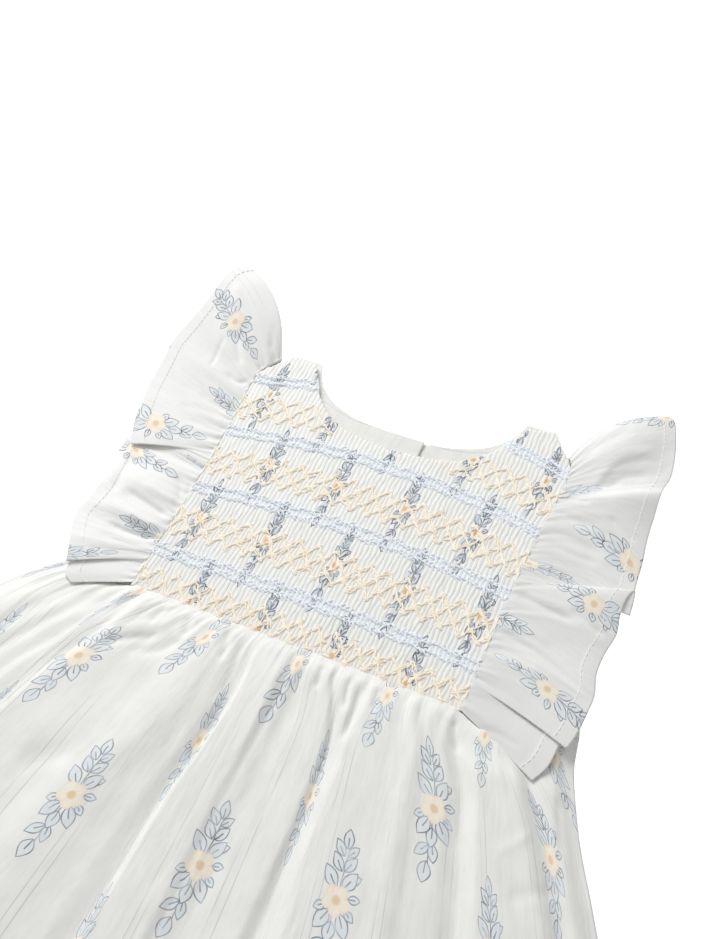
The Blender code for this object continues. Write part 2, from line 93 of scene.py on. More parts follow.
def smooth_step(start: float, end: float, value: Array) -> Array:
    """0 before start, 1 after end, smooth between."""
    part = np.clip((np.asarray(value, float) - start) / (end - start), 0.0, 1.0)
    return part * part * (3.0 - 2.0 * part)


def blend(first: Array, second: Array, part: Array) -> Array:
    """Part of the way from first to second."""
    return first + (second - first) * part


def curve_at(places: Sequence[float], values: Sequence[float], at: Array) -> Array:
    """A smooth curve through values at rising places.

    Args:
        places: Rising places, one for each value.
        values: What the curve passes through.
        at: Where to read it.

    Returns:
        The curve's values there.
    """
    x = np.asarray(places, float)
    y = np.asarray(values, float)
    ends = np.arange(len(x))
    low = np.maximum(ends - 1, 0)
    high = np.minimum(ends + 1, len(x) - 1)
    slope = (y[high] - y[low]) / (x[high] - x[low])
    where = np.clip(np.asarray(at, float), x[0], x[-1])
    k = np.clip(np.searchsorted(x, where, side="left") - 1, 0, len(x) - 2)
    span = x[k + 1] - x[k]
    t = (where - x[k]) / span
    rise = y[k + 1] - y[k]
    start = slope[k] * span
    end = slope[k + 1] * span
    bend = (3.0 * rise - 2.0 * start - end) * t * t
    return y[k] + start * t + bend + (start + end - 2.0 * rise) * t * t * t


def table_of(kind: type, *rows: tuple) -> tuple:
    """A table with one kind of named row."""
    return tuple(kind(*row) for row in rows)


def column(table: Sequence[tuple], name: str) -> list[float]:
    """One named column of a table."""
    return [getattr(row, name) for row in table]


def either_side(table: Array, places: Array, x: Array) -> list[Array]:
    """A table's values at the rising places before and after each x."""
    after = np.clip((places < x).sum(axis=0), 1, len(places) - 1)
    return [np.take_along_axis(table, k[None], 0)[0] for k in (after - 1, after)]


def bump(offset: Array, reach: Array) -> Array:
    """A soft round ridge: 1 at no offset, fading over its reach."""
    return np.exp(-((offset / reach) ** 2))


def lengths_along(points: Array) -> Array:
    """Distance along a line to each of its points."""
    return np.concatenate(([0.0], np.cumsum(np.linalg.norm(np.diff(points, axis=0), axis=1))))


@dataclass(frozen=True)
class Gathers:
    """Small uneven gathers that start at a seam and fan out."""

    shake: float
    heights: Shape
    reaches: Shape
    widths: Shape
    opening: float

    def relief(
        self, chance: np.random.Generator, places: Array, along: Array, away: Array
    ) -> Array:
        """Height that the gathers add.

        Args:
            chance: The run of random numbers.
            places: The gathers' even places along the seam.
            along: Places along the seam.
            away: Distances from the seam.

        Returns:
            The heights.
        """
        places = places + chance.normal(0.0, self.shake, len(places))
        drawn = [
            chance.uniform(*limits, len(places))
            for limits in (self.heights, self.reaches, self.widths)
        ]
        total = np.zeros(away.shape)
        for place, height, reach, width in zip(places, *drawn):
            spread = width * (1.0 + self.opening * away)
            total += height * bump(along - place, spread) * np.exp(-away / reach)
        return total


# The pattern: seam lines that the pieces share ----


class PanelWidth(NamedTuple):
    """Half-width of the smocked panel at a height above the waist."""

    y: float
    half_width: float


class Outline(NamedTuple):
    """A point of a neckline."""

    x: float
    y: float


class ArmholeEdge(NamedTuple):
    """Half-widths of the front and back bodice at a height."""

    y: float
    front: float
    back: float


class SkirtWidth(NamedTuple):
    """The skirt's half-widths at a depth below the waist."""

    depth: float
    a: float
    b: float


PLEATED_WIDTHS = table_of(
    PanelWidth,
    (0.0, 10.0), (8.0, 10.25), (13.0, 10.6), (17.0, 11.0), (22.0, 11.1),
)
FRONT_TOP = table_of(
    Outline,
    (0.0, 15.4), (2.8, 15.7), (4.3, 16.2), (5.3, 17.0), (6.2, 18.0), (6.9, 19.4), (7.6, 20.6),
    (9.3, 21.0), (9.8, 20.2), (10.6, 19.1), (11.0, 18.4),
)
ARMHOLE = table_of(
    ArmholeEdge,
    (6.2, 15.0, 15.2), (6.7, 13.9, 14.5), (7.6, 12.7, 13.6), (9.2, 11.7, 12.6), (11.4, 10.7, 11.8),
    (15.0, 10.7, 11.1), (18.6, 10.7, 10.6), (20.3, 10.7, 9.9), (21.3, 10.7, 9.2),
)
BACK_NECK = table_of(
    Outline,
    (0.0, 17.1), (2.3, 17.22), (3.5, 17.45), (5.1, 18.1), (6.3, 19.1), (7.0, 20.2), (7.4, 21.3),
)
SKIRT_WIDTHS = table_of(
    SkirtWidth,
    (0.0, 14.5, 16.1), (1.5, 16.0, 16.3), (3.0, 17.1, 16.8), (5.0, 18.2, 17.6), (7.5, 19.3, 18.8),
    (14.0, 21.9, 21.7), (20.0, 23.9, 23.8), (27.5, 26.0, 26.0),
)

# Heights of the smocking above the waist: blue cables, and bands of peach diamonds.
CABLE_ROWS = (3.1, 8.6, 14.0, 19.4)
LATTICE_BANDS = (0.65, 5.65, 11.1, 16.5)
BAND_HALF = 0.45


class Side(Enum):
    """The dress's two sides: a is towards -X, b towards +X."""

    A = "a"
    B = "b"

    @property
    def sign(self) -> float:
        """The side's direction along X."""
        return -1.0 if self is Side.A else 1.0


class Layer(Enum):
    """The two layers of the bodice, named as the armhole's columns are."""

    FRONT = "front"
    BACK = "back"


@dataclass(frozen=True)
class Pattern:
    """Seam lines and outlines of the cut pieces."""

    skirt_length: float = 27.5
    hem_rise: float = 1.8
    waist_a: float = 14.5
    waist_b: float = 16.1
    climb_a: float = 0.2
    climb_b: float = 1.1
    climb_starts: float = 10.0
    climb_fades: float = 4.0
    underarm: float = 6.2
    side_panel_top: float = 11.4
    underarm_inset_a: float = 0.7

    def pleated_half_width(self, y: Array) -> Array:
        """Half-width of the smocked panel at heights above the waist."""
        return curve_at(column(PLEATED_WIDTHS, "y"), column(PLEATED_WIDTHS, "half_width"), y)

    def front_top(self, across: Array) -> Array:
        """Where the front's top edge is.

        Args:
            across: Shares of the panel's half-width.

        Returns:
            The edge's heights there.
        """
        heights = column(FRONT_TOP, "y")
        shares = np.array(column(FRONT_TOP, "x")) / self.pleated_half_width(heights)
        return np.interp(np.abs(across), shares, heights)

    def waist_y(self, x: Array) -> Array:
        """Height of the waist seam: level in the middle, climbing to each side.

        Args:
            x: Places along the seam.

        Returns:
            The seam's heights there.
        """
        x = np.asarray(x, float)
        reach = np.where(x < 0.0, self.waist_a, self.waist_b) - self.climb_starts
        climb = np.where(x < 0.0, self.climb_a, self.climb_b)
        part = np.maximum(0.0, (np.abs(x) - self.climb_starts) / reach)
        return climb * part * part

    def armhole(self, side: Side, layer: Layer, y: Array) -> Array:
        """Outer half-width of the bodice: side seam, armhole, then shoulder.

        Args:
            side: Which side of the dress.
            layer: Which layer of the bodice.
            y: Heights above the waist.

        Returns:
            The half-widths there.
        """
        heights = np.array(column(ARMHOLE, "y"))
        edges = np.array(column(ARMHOLE, layer.value))
        waist = self.waist_b
        if side is Side.A:
            in_here = 1.0 - smooth_step(self.underarm, self.side_panel_top, heights)
            edges = edges - self.underarm_inset_a * in_here
            waist = self.waist_a
        return np.interp(y, (0.0, *heights), (waist, *edges))

    def back_neck_x(self, y: Array) -> Array:
        """Half-width of the back neckline at heights above the waist."""
        return curve_at(column(BACK_NECK, "y"), column(BACK_NECK, "x"), y)

    def skirt_place(self, across: Array, depth: Array) -> tuple[Array, Array]:
        """Where a share of the skirt's width lies at a depth below the waist.

        Args:
            across: Shares of the half-width, from -1 to 1.
            depth: Depths below the waist seam.

        Returns:
            The places' x and y.
        """
        depths = column(SKIRT_WIDTHS, "depth")
        half_a = curve_at(depths, column(SKIRT_WIDTHS, "a"), depth)
        half_b = curve_at(depths, column(SKIRT_WIDTHS, "b"), depth)
        x = across * np.where(across < 0.0, half_a, half_b)
        seam = across * np.where(across < 0.0, self.waist_a, self.waist_b)
        climb = self.waist_y(seam) * np.exp(-depth / self.climb_fades)
        rise = self.hem_rise * (depth / self.skirt_length) * across * across
        return x, climb + rise - depth


PATTERN = Pattern()


# Meshes ----


def in_frame(points: Array) -> Array:
    """Pattern centimetres to metres in the frame's axes."""
    return (np.asarray(points, float) + (0.0, WAIST_FROM_CENTRE, 0.0)) * CM


@dataclass
class Cloth:
    """A grid of cloth: its face points, the points under them and its print's places."""

    outer: Array
    inner: Array
    weave: Array

    def quads(self) -> tuple[Array, Array]:
        """Corners of the closed shell's faces and each corner's place in the grid.

        Returns:
            Vertex numbers, four a face, and the grid point that each one's print is read at.
        """
        rows, columns = self.outer.shape[:2]
        grid = np.arange(rows * columns).reshape(rows, columns)
        top = np.stack((grid[:-1, :-1], grid[:-1, 1:], grid[1:, 1:], grid[1:, :-1]), -1)
        top = top.reshape(-1, 4)
        rim = np.concatenate((grid[0, :], grid[1:, -1], grid[-1, -2::-1], grid[-2:0:-1, 0]))
        after = np.roll(rim, -1)
        count = rows * columns
        wall = np.stack((after, rim, rim + count, after + count), -1)
        faces = np.concatenate((top, top[:, ::-1] + count, wall))
        return faces, faces % count

    def mesh(self, name: str) -> Mesh:
        """The cloth as one closed mesh, its faces out.

        Args:
            name: The mesh's name.

        Returns:
            The mesh, with the print's places as its UV map.
        """
        points = np.concatenate((self.outer.reshape(-1, 3), self.inner.reshape(-1, 3)))
        faces, places = self.quads()
        corners = points[faces]
        first = np.cross(corners[:, 1] - corners[:, 0], corners[:, 2] - corners[:, 0])
        second = np.cross(corners[:, 2] - corners[:, 0], corners[:, 3] - corners[:, 0])
        if np.einsum("ij,ij->", first + second, corners[:, 0]) < 0.0:
            faces = faces[:, ::-1]
            places = places[:, ::-1]
        spots = self.weave.reshape(-1, 2)[places.reshape(-1)]
        return printed_mesh(name, points, faces.tolist(), spots)


def printed_mesh(name: str, points: Array, faces: list[list[int]], spots: Array) -> Mesh:
    """A smooth mesh whose weave map gives the places of its print.

    Args:
        name: The mesh's name.
        points: Its points, in pattern centimetres.
        faces: The points of each face.
        spots: The place on the weave of each face's corners, in centimetres.

    Returns:
        The mesh, in the frame's metres.
    """
    mesh = bpy.data.meshes.new(name)
    mesh.from_pydata(in_frame(points).tolist(), [], faces)
    uv = mesh.uv_layers.new(name="weave")
    uv.data.foreach_set("uv", (spots * CM).astype(np.float32).ravel())
    mesh.shade_smooth()
    return mesh


def keep_values(mesh: Mesh, name: str, values: Array) -> None:
    """Keep a number for each of a mesh's points; those past the last value get 0."""
    padded = np.pad(values.ravel(), (0, len(mesh.vertices) - values.size)).astype(np.float32)
    mesh.attributes.new(name, "FLOAT", "POINT").data.foreach_set("value", padded)


def normals(points: Array) -> Array:
    """Unit normals of a grid of points, upwards where the grid lies flat.

    Args:
        points: The grid, rows by columns by 3.

    Returns:
        One normal for each point.
    """
    down = np.gradient(points, axis=0)
    along = np.gradient(points, axis=1)
    cross = np.cross(along, down)
    cross /= np.linalg.norm(cross, axis=-1, keepdims=True) + 1e-12
    middle = cross[cross.shape[0] // 3, cross.shape[1] // 2, 2]
    return cross if middle > 0.0 else -cross


def sheet_of(points: Array, weave: Array, thickness: Array) -> Cloth:
    """A sheet of cloth with both faces at half its thickness from its middle points.

    Args:
        points: Middle points, rows by columns by 3.
        weave: The print's places, rows by columns by 2.
        thickness: The cloth's thickness, one number or one for each point.

    Returns:
        The cloth, never below the surface that it lies on.
    """
    half = np.broadcast_to(np.asarray(thickness, float), points.shape[:2])[..., None] / 2.0
    push = normals(points) * half
    outer = points + push
    inner = points - push
    for face in (outer, inner):
        face[..., 2] = np.maximum(face[..., 2], 0.0)
    return Cloth(outer, inner, weave)


def add_piece(
    name: str, form: Cloth | Mesh, material: Material
) -> bpy.types.Object:
    """Put a finished form in the scene as a piece of the dress.

    Args:
        name: The piece's name.
        form: Its cloth, or its mesh in the frame's metres.
        material: Its finish.

    Returns:
        The piece, which rides on the dress's body.
    """
    mesh = form.mesh(name) if isinstance(form, Cloth) else form
    piece = bpy.data.objects.new(name, mesh)
    bpy.context.scene.collection.objects.link(piece)
    if not mesh.materials:
        mesh.materials.append(material)
    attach(piece, "root")
    log.info("%s: %d faces", name, len(mesh.polygons))
    return piece


@dataclass(frozen=True)
class Crease:
    """A ridge, or a trough where its height is negative, along a given line."""

    points: tuple[tuple[float, float], ...]
    height: float
    left: float
    right: float
    fade: float = 0.25
    stops: int = 14

    def relief(self, x: Array, y: Array) -> Array:
        """Height that the crease adds.

        Args:
            x: Places across.
            y: Places along.

        Returns:
            The heights there; left is the reach on the line's left side.
        """
        knots = np.array(self.points)
        along = lengths_along(knots)
        stops = np.linspace(0.0, along[-1], self.stops)
        line = np.stack([curve_at(along, knots[:, i], stops) for i in (0, 1)], -1)
        best = np.full(np.shape(x), np.inf)
        aside = np.zeros(np.shape(x))
        share = np.zeros(np.shape(x))
        for k in range(len(line) - 1):
            dx, dy = line[k + 1] - line[k]
            length = math.hypot(dx, dy)
            t = ((x - line[k][0]) * dx + (y - line[k][1]) * dy) / length**2
            t = np.clip(t, 0.0, 1.0)
            off_x = x - line[k][0] - t * dx
            off_y = y - line[k][1] - t * dy
            off = np.hypot(off_x, off_y)
            nearer = off < best
            best = np.where(nearer, off, best)
            aside = np.where(nearer, dx * off_y - dy * off_x, aside)
            share = np.where(nearer, (k + t) / (len(line) - 1), share)
        reach = np.where(aside > 0.0, self.left, self.right)
        ends = smooth_step(0.0, self.fade, share) * (1.0 - smooth_step(1.0 - self.fade, 1.0, share))
        return self.height * bump(best, reach) * ends


# Node trees ----


def math_node(operation: str, swapped: bool = False) -> Callable[..., "Number"]:
    """A method of Number that adds a Math node on it and what it meets."""

    def method(self: "Number", *others: "Number | float") -> "Number":
        """Add the node."""
        terms = (*others, self) if swapped else (self, *others)
        return self.graph.maths(operation, *terms)

    return method


class Number:
    """A number in a node tree, worked on with Python's own operators."""

    def __init__(self, graph: "Graph", socket: Socket) -> None:
        """Keep the graph and the socket that gives the number."""
        self.graph = graph
        self.socket = socket

    __add__ = __radd__ = math_node("ADD")
    __sub__ = math_node("SUBTRACT")
    __rsub__ = math_node("SUBTRACT", swapped=True)
    __mul__ = __rmul__ = math_node("MULTIPLY")
    __pow__ = math_node("POWER")
    __mod__ = math_node("FLOORED_MODULO")
    __abs__ = math_node("ABSOLUTE")
    least = math_node("MINIMUM")
    most = math_node("MAXIMUM")

    def nearest(self) -> "Number":
        """The nearest whole number."""
        return self.graph.maths("FLOOR", self + 0.5)


class Graph:
    """Adds and links the nodes of one tree."""

    def __init__(self, tree: bpy.types.NodeTree) -> None:
        """Keep the tree."""
        self.tree = tree

    def node(
        self, kind: str, settings: dict | None = None, values: dict | None = None
    ) -> bpy.types.Node:
        """Add a node.

        Args:
            kind: The node's type.
            settings: Its own settings, set first.
            values: Its sockets by name or number: numbers, links or Numbers.

        Returns:
            The node.
        """
        made = self.tree.nodes.new(kind)
        for name, value in (settings or {}).items():
            setattr(made, name, value)
        for key, value in (values or {}).items():
            socket = made.inputs[key]
            if isinstance(value, Number):
                value = value.socket
            if isinstance(value, Socket):
                self.tree.links.new(value, socket)
            else:
                socket.default_value = value
        return made

    def maths(self, operation: str, *terms: "Number | float") -> Number:
        """Add a Math node on the terms."""
        made = self.node("ShaderNodeMath", {"operation": operation}, dict(enumerate(terms)))
        return Number(self, made.outputs[0])

    def clamped(self, value: Number, times: float, plus: float) -> Number:
        """A multiple of a value, moved and held between 0 and 1."""
        made = self.maths("MULTIPLY_ADD", value, times, plus)
        made.socket.node.use_clamp = True
        return made

    def dot(self, vector: Socket, weights: Shape) -> Number:
        """Weighted sum of a vector's three numbers."""
        values = {0: vector, 1: weights}
        made = self.node("ShaderNodeVectorMath", {"operation": "DOT_PRODUCT"}, values)
        return Number(self, made.outputs["Value"])

    def stretched(self, vector: Socket, times: Shape) -> Socket:
        """A vector with each of its three numbers multiplied."""
        made = self.node("ShaderNodeVectorMath", {"operation": "MULTIPLY"}, {0: vector, 1: times})
        return made.outputs[0]

    def vector(self, x: "Number | float", y: "Number | float", z: "Number | float") -> Socket:
        """Three numbers as a vector."""
        return self.node("ShaderNodeCombineXYZ", None, {0: x, 1: y, 2: z}).outputs[0]

    def ramp(self, value: Number, start: float, end: float) -> Number:
        """0 at start and 1 at end, held beyond them."""
        values = {"Value": value, "From Min": start, "From Max": end}
        return Number(self, self.node("ShaderNodeMapRange", {"clamp": True}, values).outputs[0])

    def noise(self, place: Socket, scale: float, detail: float = 2.0) -> Number:
        """Soft noise from 0 to 1."""
        values = {"Vector": place, "Scale": scale, "Detail": detail}
        return Number(self, self.node("ShaderNodeTexNoise", None, values).outputs[0])

    def mix(self, part: "Number | float", first: object, second: object) -> Socket:
        """Part of the way from one colour to another."""
        values = {0: part, 6: first, 7: second}
        return self.node("ShaderNodeMix", {"data_type": "RGBA"}, values).outputs[2]

    def relief(
        self, height: Number, strength: float, distance: float, under: Socket | None = None
    ) -> Socket:
        """Normals of small relief that is finer than the mesh.

        Args:
            height: The relief's height.
            strength: How strongly it shows.
            distance: How far its height reaches, in metres.
            under: Normals of broader relief below it.

        Returns:
            The normals.
        """
        values = {"Strength": strength, "Distance": distance, "Height": height}
        if under is not None:
            values["Normal"] = under
        return self.node("ShaderNodeBump", None, values).outputs[0]

    def surface(self, values: dict) -> None:
        """End a material in one surface with these values."""
        shader = self.node("ShaderNodeBsdfPrincipled", None, values)
        self.node("ShaderNodeOutputMaterial", None, {"Surface": shader.outputs[0]})

    def end_in_mesh(self, geometry: Socket, material: Socket) -> None:
        """End a Geometry Nodes tree in real geometry with its material."""
        real = self.node("GeometryNodeRealizeInstances", None, {0: geometry})
        values = {"Geometry": real.outputs[0], "Material": material}
        dressed = self.node("GeometryNodeSetMaterial", None, values)
        self.node("NodeGroupOutput", None, {0: dressed.outputs[0]})


def new_material(name: str) -> tuple[Material, Graph]:
    """An empty material and the graph of its nodes."""
    made = bpy.data.materials.new(name)
    made.use_nodes = True
    made.node_tree.nodes.clear()
    return made, Graph(made.node_tree)


def new_tree(name: str, inputs: dict[str, str]) -> tuple[Graph, bpy.types.NodeOutputs]:
    """A Geometry Nodes tree that takes geometry and named inputs.

    Args:
        name: The tree's name.
        inputs: The type of each input after the geometry, by its name.

    Returns:
        The tree's graph and its inputs' sockets.
    """
    tree = bpy.data.node_groups.new(name, "GeometryNodeTree")
    for label, kind in {"Geometry": "Geometry", **inputs}.items():
        tree.interface.new_socket(label, in_out="INPUT", socket_type="NodeSocket" + kind)
    tree.interface.new_socket("Geometry", in_out="OUTPUT", socket_type="NodeSocketGeometry")
    graph = Graph(tree)
    return graph, graph.node("NodeGroupInput").outputs


def grown(guide: Mesh, tree: bpy.types.NodeTree, values: dict) -> Mesh:
    """Run a node tree on a mesh and keep the result as a plain mesh.

    Args:
        guide: The mesh that the tree starts from.
        tree: The node tree.
        values: The tree's inputs by name.

    Returns:
        The result's own mesh.
    """
    holder = bpy.data.objects.new(guide.name, guide)
    bpy.context.scene.collection.objects.link(holder)
    modifier = holder.modifiers.new("grow", "NODES")
    modifier.node_group = tree
    for item in tree.interface.items_tree:
        if item.in_out == "INPUT" and item.name in values:
            modifier[item.identifier] = values[item.name]
    seen = bpy.context.evaluated_depsgraph_get()
    seen.update()
    mesh = bpy.data.meshes.new_from_object(holder.evaluated_get(seen), depsgraph=seen)
    bpy.data.objects.remove(holder, do_unlink=True)
    bpy.data.meshes.remove(guide)
    return mesh


def paint(red: float, green: float, blue: float) -> Shape:
    """A colour as screen values from 0 to 255, made linear."""
    shares = (v / 255.0 for v in (red, green, blue))
    return (*(v / 12.92 if v < 0.04045 else ((v + 0.055) / 1.055) ** 2.4 for v in shares), 1.0)


# Finishes ----


class Leaf(NamedTuple):
    """A printed leaf: its foot, its direction in degrees from straight up, its size."""

    x: float
    y: float
    turn: float
    length: float
    width: float


SPRIG_LEAVES = table_of(
    Leaf,
    (0.02, 2.3, -5.0, 1.0, 0.28), (-0.04, 1.95, -40.0, 0.94, 0.26), (0.08, 2.0, 42.0, 0.8, 0.23),
    (-0.02, 1.26, -36.0, 1.0, 0.28), (0.08, 1.3, 33.0, 0.96, 0.27), (0.42, 0.95, 60.0, 0.7, 0.22),
    (-0.12, 0.48, -40.0, 1.2, 0.34), (0.16, 0.48, 32.0, 1.16, 0.33),
    (0.52, 0.22, 80.0, 0.66, 0.21), (-0.2, -2.5, -170.0, 1.08, 0.36),
    (-0.12, -1.72, -132.0, 1.02, 0.27), (0.02, -1.62, 172.0, 0.94, 0.27),
    (-0.02, -0.9, -178.0, 0.98, 0.32), (-0.2, -0.46, -148.0, 1.16, 0.34),
    (0.24, -0.46, 150.0, 1.18, 0.34), (-0.46, -0.3, -120.0, 0.66, 0.23),
    (0.5, -0.28, 126.0, 0.66, 0.21),
)


@dataclass(frozen=True)
class SprigPrint:
    """Flower sprigs in half-drop columns, with thin woven stripes between them."""

    column: float = 4.7
    drop: float = 11.0
    waver: float = 0.12
    waver_scale: float = 1.7
    line: float = 0.032
    line_blur: float = 0.034
    leaf_swell: float = 4.7
    leaf_taper: float = 1.2
    vein_middle: float = 0.15
    vein_half: float = 0.38
    stem_low: float = -2.7
    stem_high: float = 2.6
    stem_lean: float = 0.05
    wash_scale: float = 1.3
    fill_wash: Shape = (0.1, 0.6)
    line_wash: Shape = (0.9, 0.3)
    petals: float = 2.5
    petal_turn: float = 0.6
    petal_radius: float = 0.56
    petal_swell: float = 0.17
    petal_rim: Shape = (0.16, 0.02)
    petal_rim_part: float = 0.6
    petal_gap: Shape = (0.22, 0.05)
    petal_gap_starts: Shape = (0.15, 0.35)
    petal_gap_part: float = 0.5
    petal_blur: Shape = (-0.02, 0.02)
    centre: float = 0.17
    centre_blur: Shape = (0.1, -0.02)
    stripe_pitch: float = 3.35
    stripe_apart: float = 0.42
    stripe_blur: Shape = (0.044, 0.0132)
    stripe_part: float = 0.6
    stripe_wear: Shape = (0.42, 0.6)
    stripe_wear_scale: float = 1.4
    stripe_wear_stretch: Shape = (0.45, 0.16, 1.0)
    leaf_fill: Shape = paint(224, 230, 234)
    leaf_line: Shape = paint(114, 123, 137)
    flower: Shape = paint(246, 237, 221)
    flower_edge: Shape = paint(238, 225, 204)
    flower_centre: Shape = paint(232, 208, 174)
    stripe_tint: Shape = paint(192, 193, 194)

    def ink(self, graph: Graph, distance: Number) -> Number:
        """How much ink a drawn line has at a distance from its middle."""
        return graph.clamped(distance, -1.0 / self.line_blur, self.line / self.line_blur + 0.5)

    def leaf(self, graph: Graph, place: Socket, leaf: Leaf) -> tuple[Number, Number]:
        """One leaf of the sprig.

        Args:
            graph: The material's nodes.
            place: The place in the sprig, with 1 as its third number.
            leaf: The leaf.

        Returns:
            How much the leaf covers the place, and how much ink it has there.
        """
        sine = math.sin(math.radians(leaf.turn))
        cosine = math.cos(math.radians(leaf.turn))
        foot_along = leaf.x * sine + leaf.y * cosine
        foot_aside = leaf.x * cosine - leaf.y * sine
        axis = (sine / leaf.length, cosine / leaf.length, -foot_along / leaf.length)
        along = graph.dot(place, axis)
        aside = abs(graph.dot(place, (cosine, -sine, -foot_aside)))
        room = along * (1.0 - along)
        taper, swell = -self.leaf_taper * leaf.width, self.leaf_swell * leaf.width
        fullness = graph.maths("MULTIPLY_ADD", along, taper, swell).most(leaf.width)
        inside = room * fullness - aside
        from_vein = abs(along - self.vein_middle)
        past = graph.maths("MULTIPLY_ADD", from_vein, leaf.length, -self.vein_half * leaf.length)
        line = (inside - self.line).least(aside.most(past))
        return graph.clamped(inside, 1.0 / self.line_blur, 0.5), self.ink(graph, line)

    def colour(self, graph: Graph, spot: Socket, cloth: object) -> Socket:
        """The print over a cloth colour.

        Args:
            graph: The material's nodes.
            spot: The place on the weave, in centimetres.
            cloth: The unprinted cloth's colour.

        Returns:
            The printed colour.
        """
        parts = graph.node("ShaderNodeSeparateXYZ", None, {0: spot})
        across, along = (Number(graph, parts.outputs[i]) for i in (0, 1))
        number = (across * (1.0 / self.column)).nearest()
        x = across - number * self.column
        dropped = along - (number % 2.0) * (self.drop / 2.0)
        y = dropped - (dropped * (1.0 / self.drop)).nearest() * self.drop
        x = x + (graph.noise(spot, self.waver_scale, 1.0) - 0.5) * self.waver
        place = graph.vector(x, y, 1.0)
        half_stem = (self.stem_high - self.stem_low) / 2.0
        stem_past = abs(y - (self.stem_low + self.stem_high) / 2.0) - half_stem
        ink = self.ink(graph, abs(x - self.stem_lean * y).most(stem_past))
        fill: Number | float = 0.0
        for leaf in SPRIG_LEAVES:
            cover, edge = self.leaf(graph, place, leaf)
            ink = graph.maths("MULTIPLY_ADD", edge - ink, cover, ink)
            fill = cover.most(fill)
        wash = graph.noise(spot, self.wash_scale, 2.0)
        striped = graph.mix(self.stripes(graph, across, spot), cloth, self.stripe_tint)
        filled = graph.mix(fill * graph.ramp(wash, *self.fill_wash), striped, self.leaf_fill)
        drawn = graph.mix(ink * graph.ramp(wash, *self.line_wash), filled, self.leaf_line)
        return self.bloom(graph, x, y, drawn)

    def stripes(self, graph: Graph, across: Number, spot: Socket) -> Number:
        """The pair of thin woven lines, worn away in places.

        Args:
            graph: The material's nodes.
            across: The place across the weave.
            spot: The place on the weave, in centimetres.

        Returns:
            How strongly the lines show there.
        """
        from_middle = abs(across % self.stripe_pitch - self.stripe_pitch / 2.0)
        from_line = abs(from_middle - self.stripe_apart / 2.0)
        stretched = graph.stretched(spot, self.stripe_wear_stretch)
        worn = graph.noise(stretched, self.stripe_wear_scale, 2.0)
        shown = graph.ramp(worn, *self.stripe_wear)
        return graph.ramp(from_line, *self.stripe_blur) * shown * self.stripe_part

    def bloom(self, graph: Graph, x: Number, y: Number, under: Socket) -> Socket:
        """The flower over the leaves.

        Args:
            graph: The material's nodes.
            x: Place across the sprig.
            y: Place along it.
            under: The colour that it covers.

        Returns:
            The colour with the flower.
        """
        radius = graph.maths("SQRT", x * x + y * y)
        turn = graph.maths("ARCTAN2", y, x)
        lobes = abs(graph.maths("COSINE", turn * self.petals + self.petal_turn))
        inside = lobes * self.petal_swell + self.petal_radius - radius
        rim = graph.ramp(inside, *self.petal_rim) * self.petal_rim_part
        petal = graph.mix(rim, self.flower, self.flower_edge)
        between = graph.ramp(lobes, *self.petal_gap) * graph.ramp(radius, *self.petal_gap_starts)
        petal = graph.mix(between * self.petal_gap_part, petal, self.flower_edge)
        heart = graph.ramp(radius, *(self.centre + blur for blur in self.centre_blur))
        whole = graph.mix(heart, petal, self.flower_centre)
        return graph.mix(graph.ramp(inside, *self.petal_blur), under, whole)


class RowTint(NamedTuple):
    """A soft band of painted shade around a value of the cloth's own "row" attribute."""

    y: float
    reach: float
    part: float
    colour: Shape
    soft: float = 0.12


# Painted shade: the smocked cloth is painted pale blue under each cable row and pale peach across
# each lattice band, as shade coloured by the thread.
SMOCK_PAINTED_THREAD_SHADE = (
    *(RowTint(y, 0.52, 0.7, paint(228, 234, 240)) for y in CABLE_ROWS),
    *(RowTint(y, 0.95, 0.5, paint(238, 232, 220)) for y in (0.6, 5.62, 11.07, 16.47)),
)
# Painted shade: grey painted into sleeve b's cloth near its gathered seam, fading over a few
# centimetres.
GATHER_PAINTED_SHADE = RowTint(0.0, 2.6, 0.85, paint(217, 217, 216), 1.9)


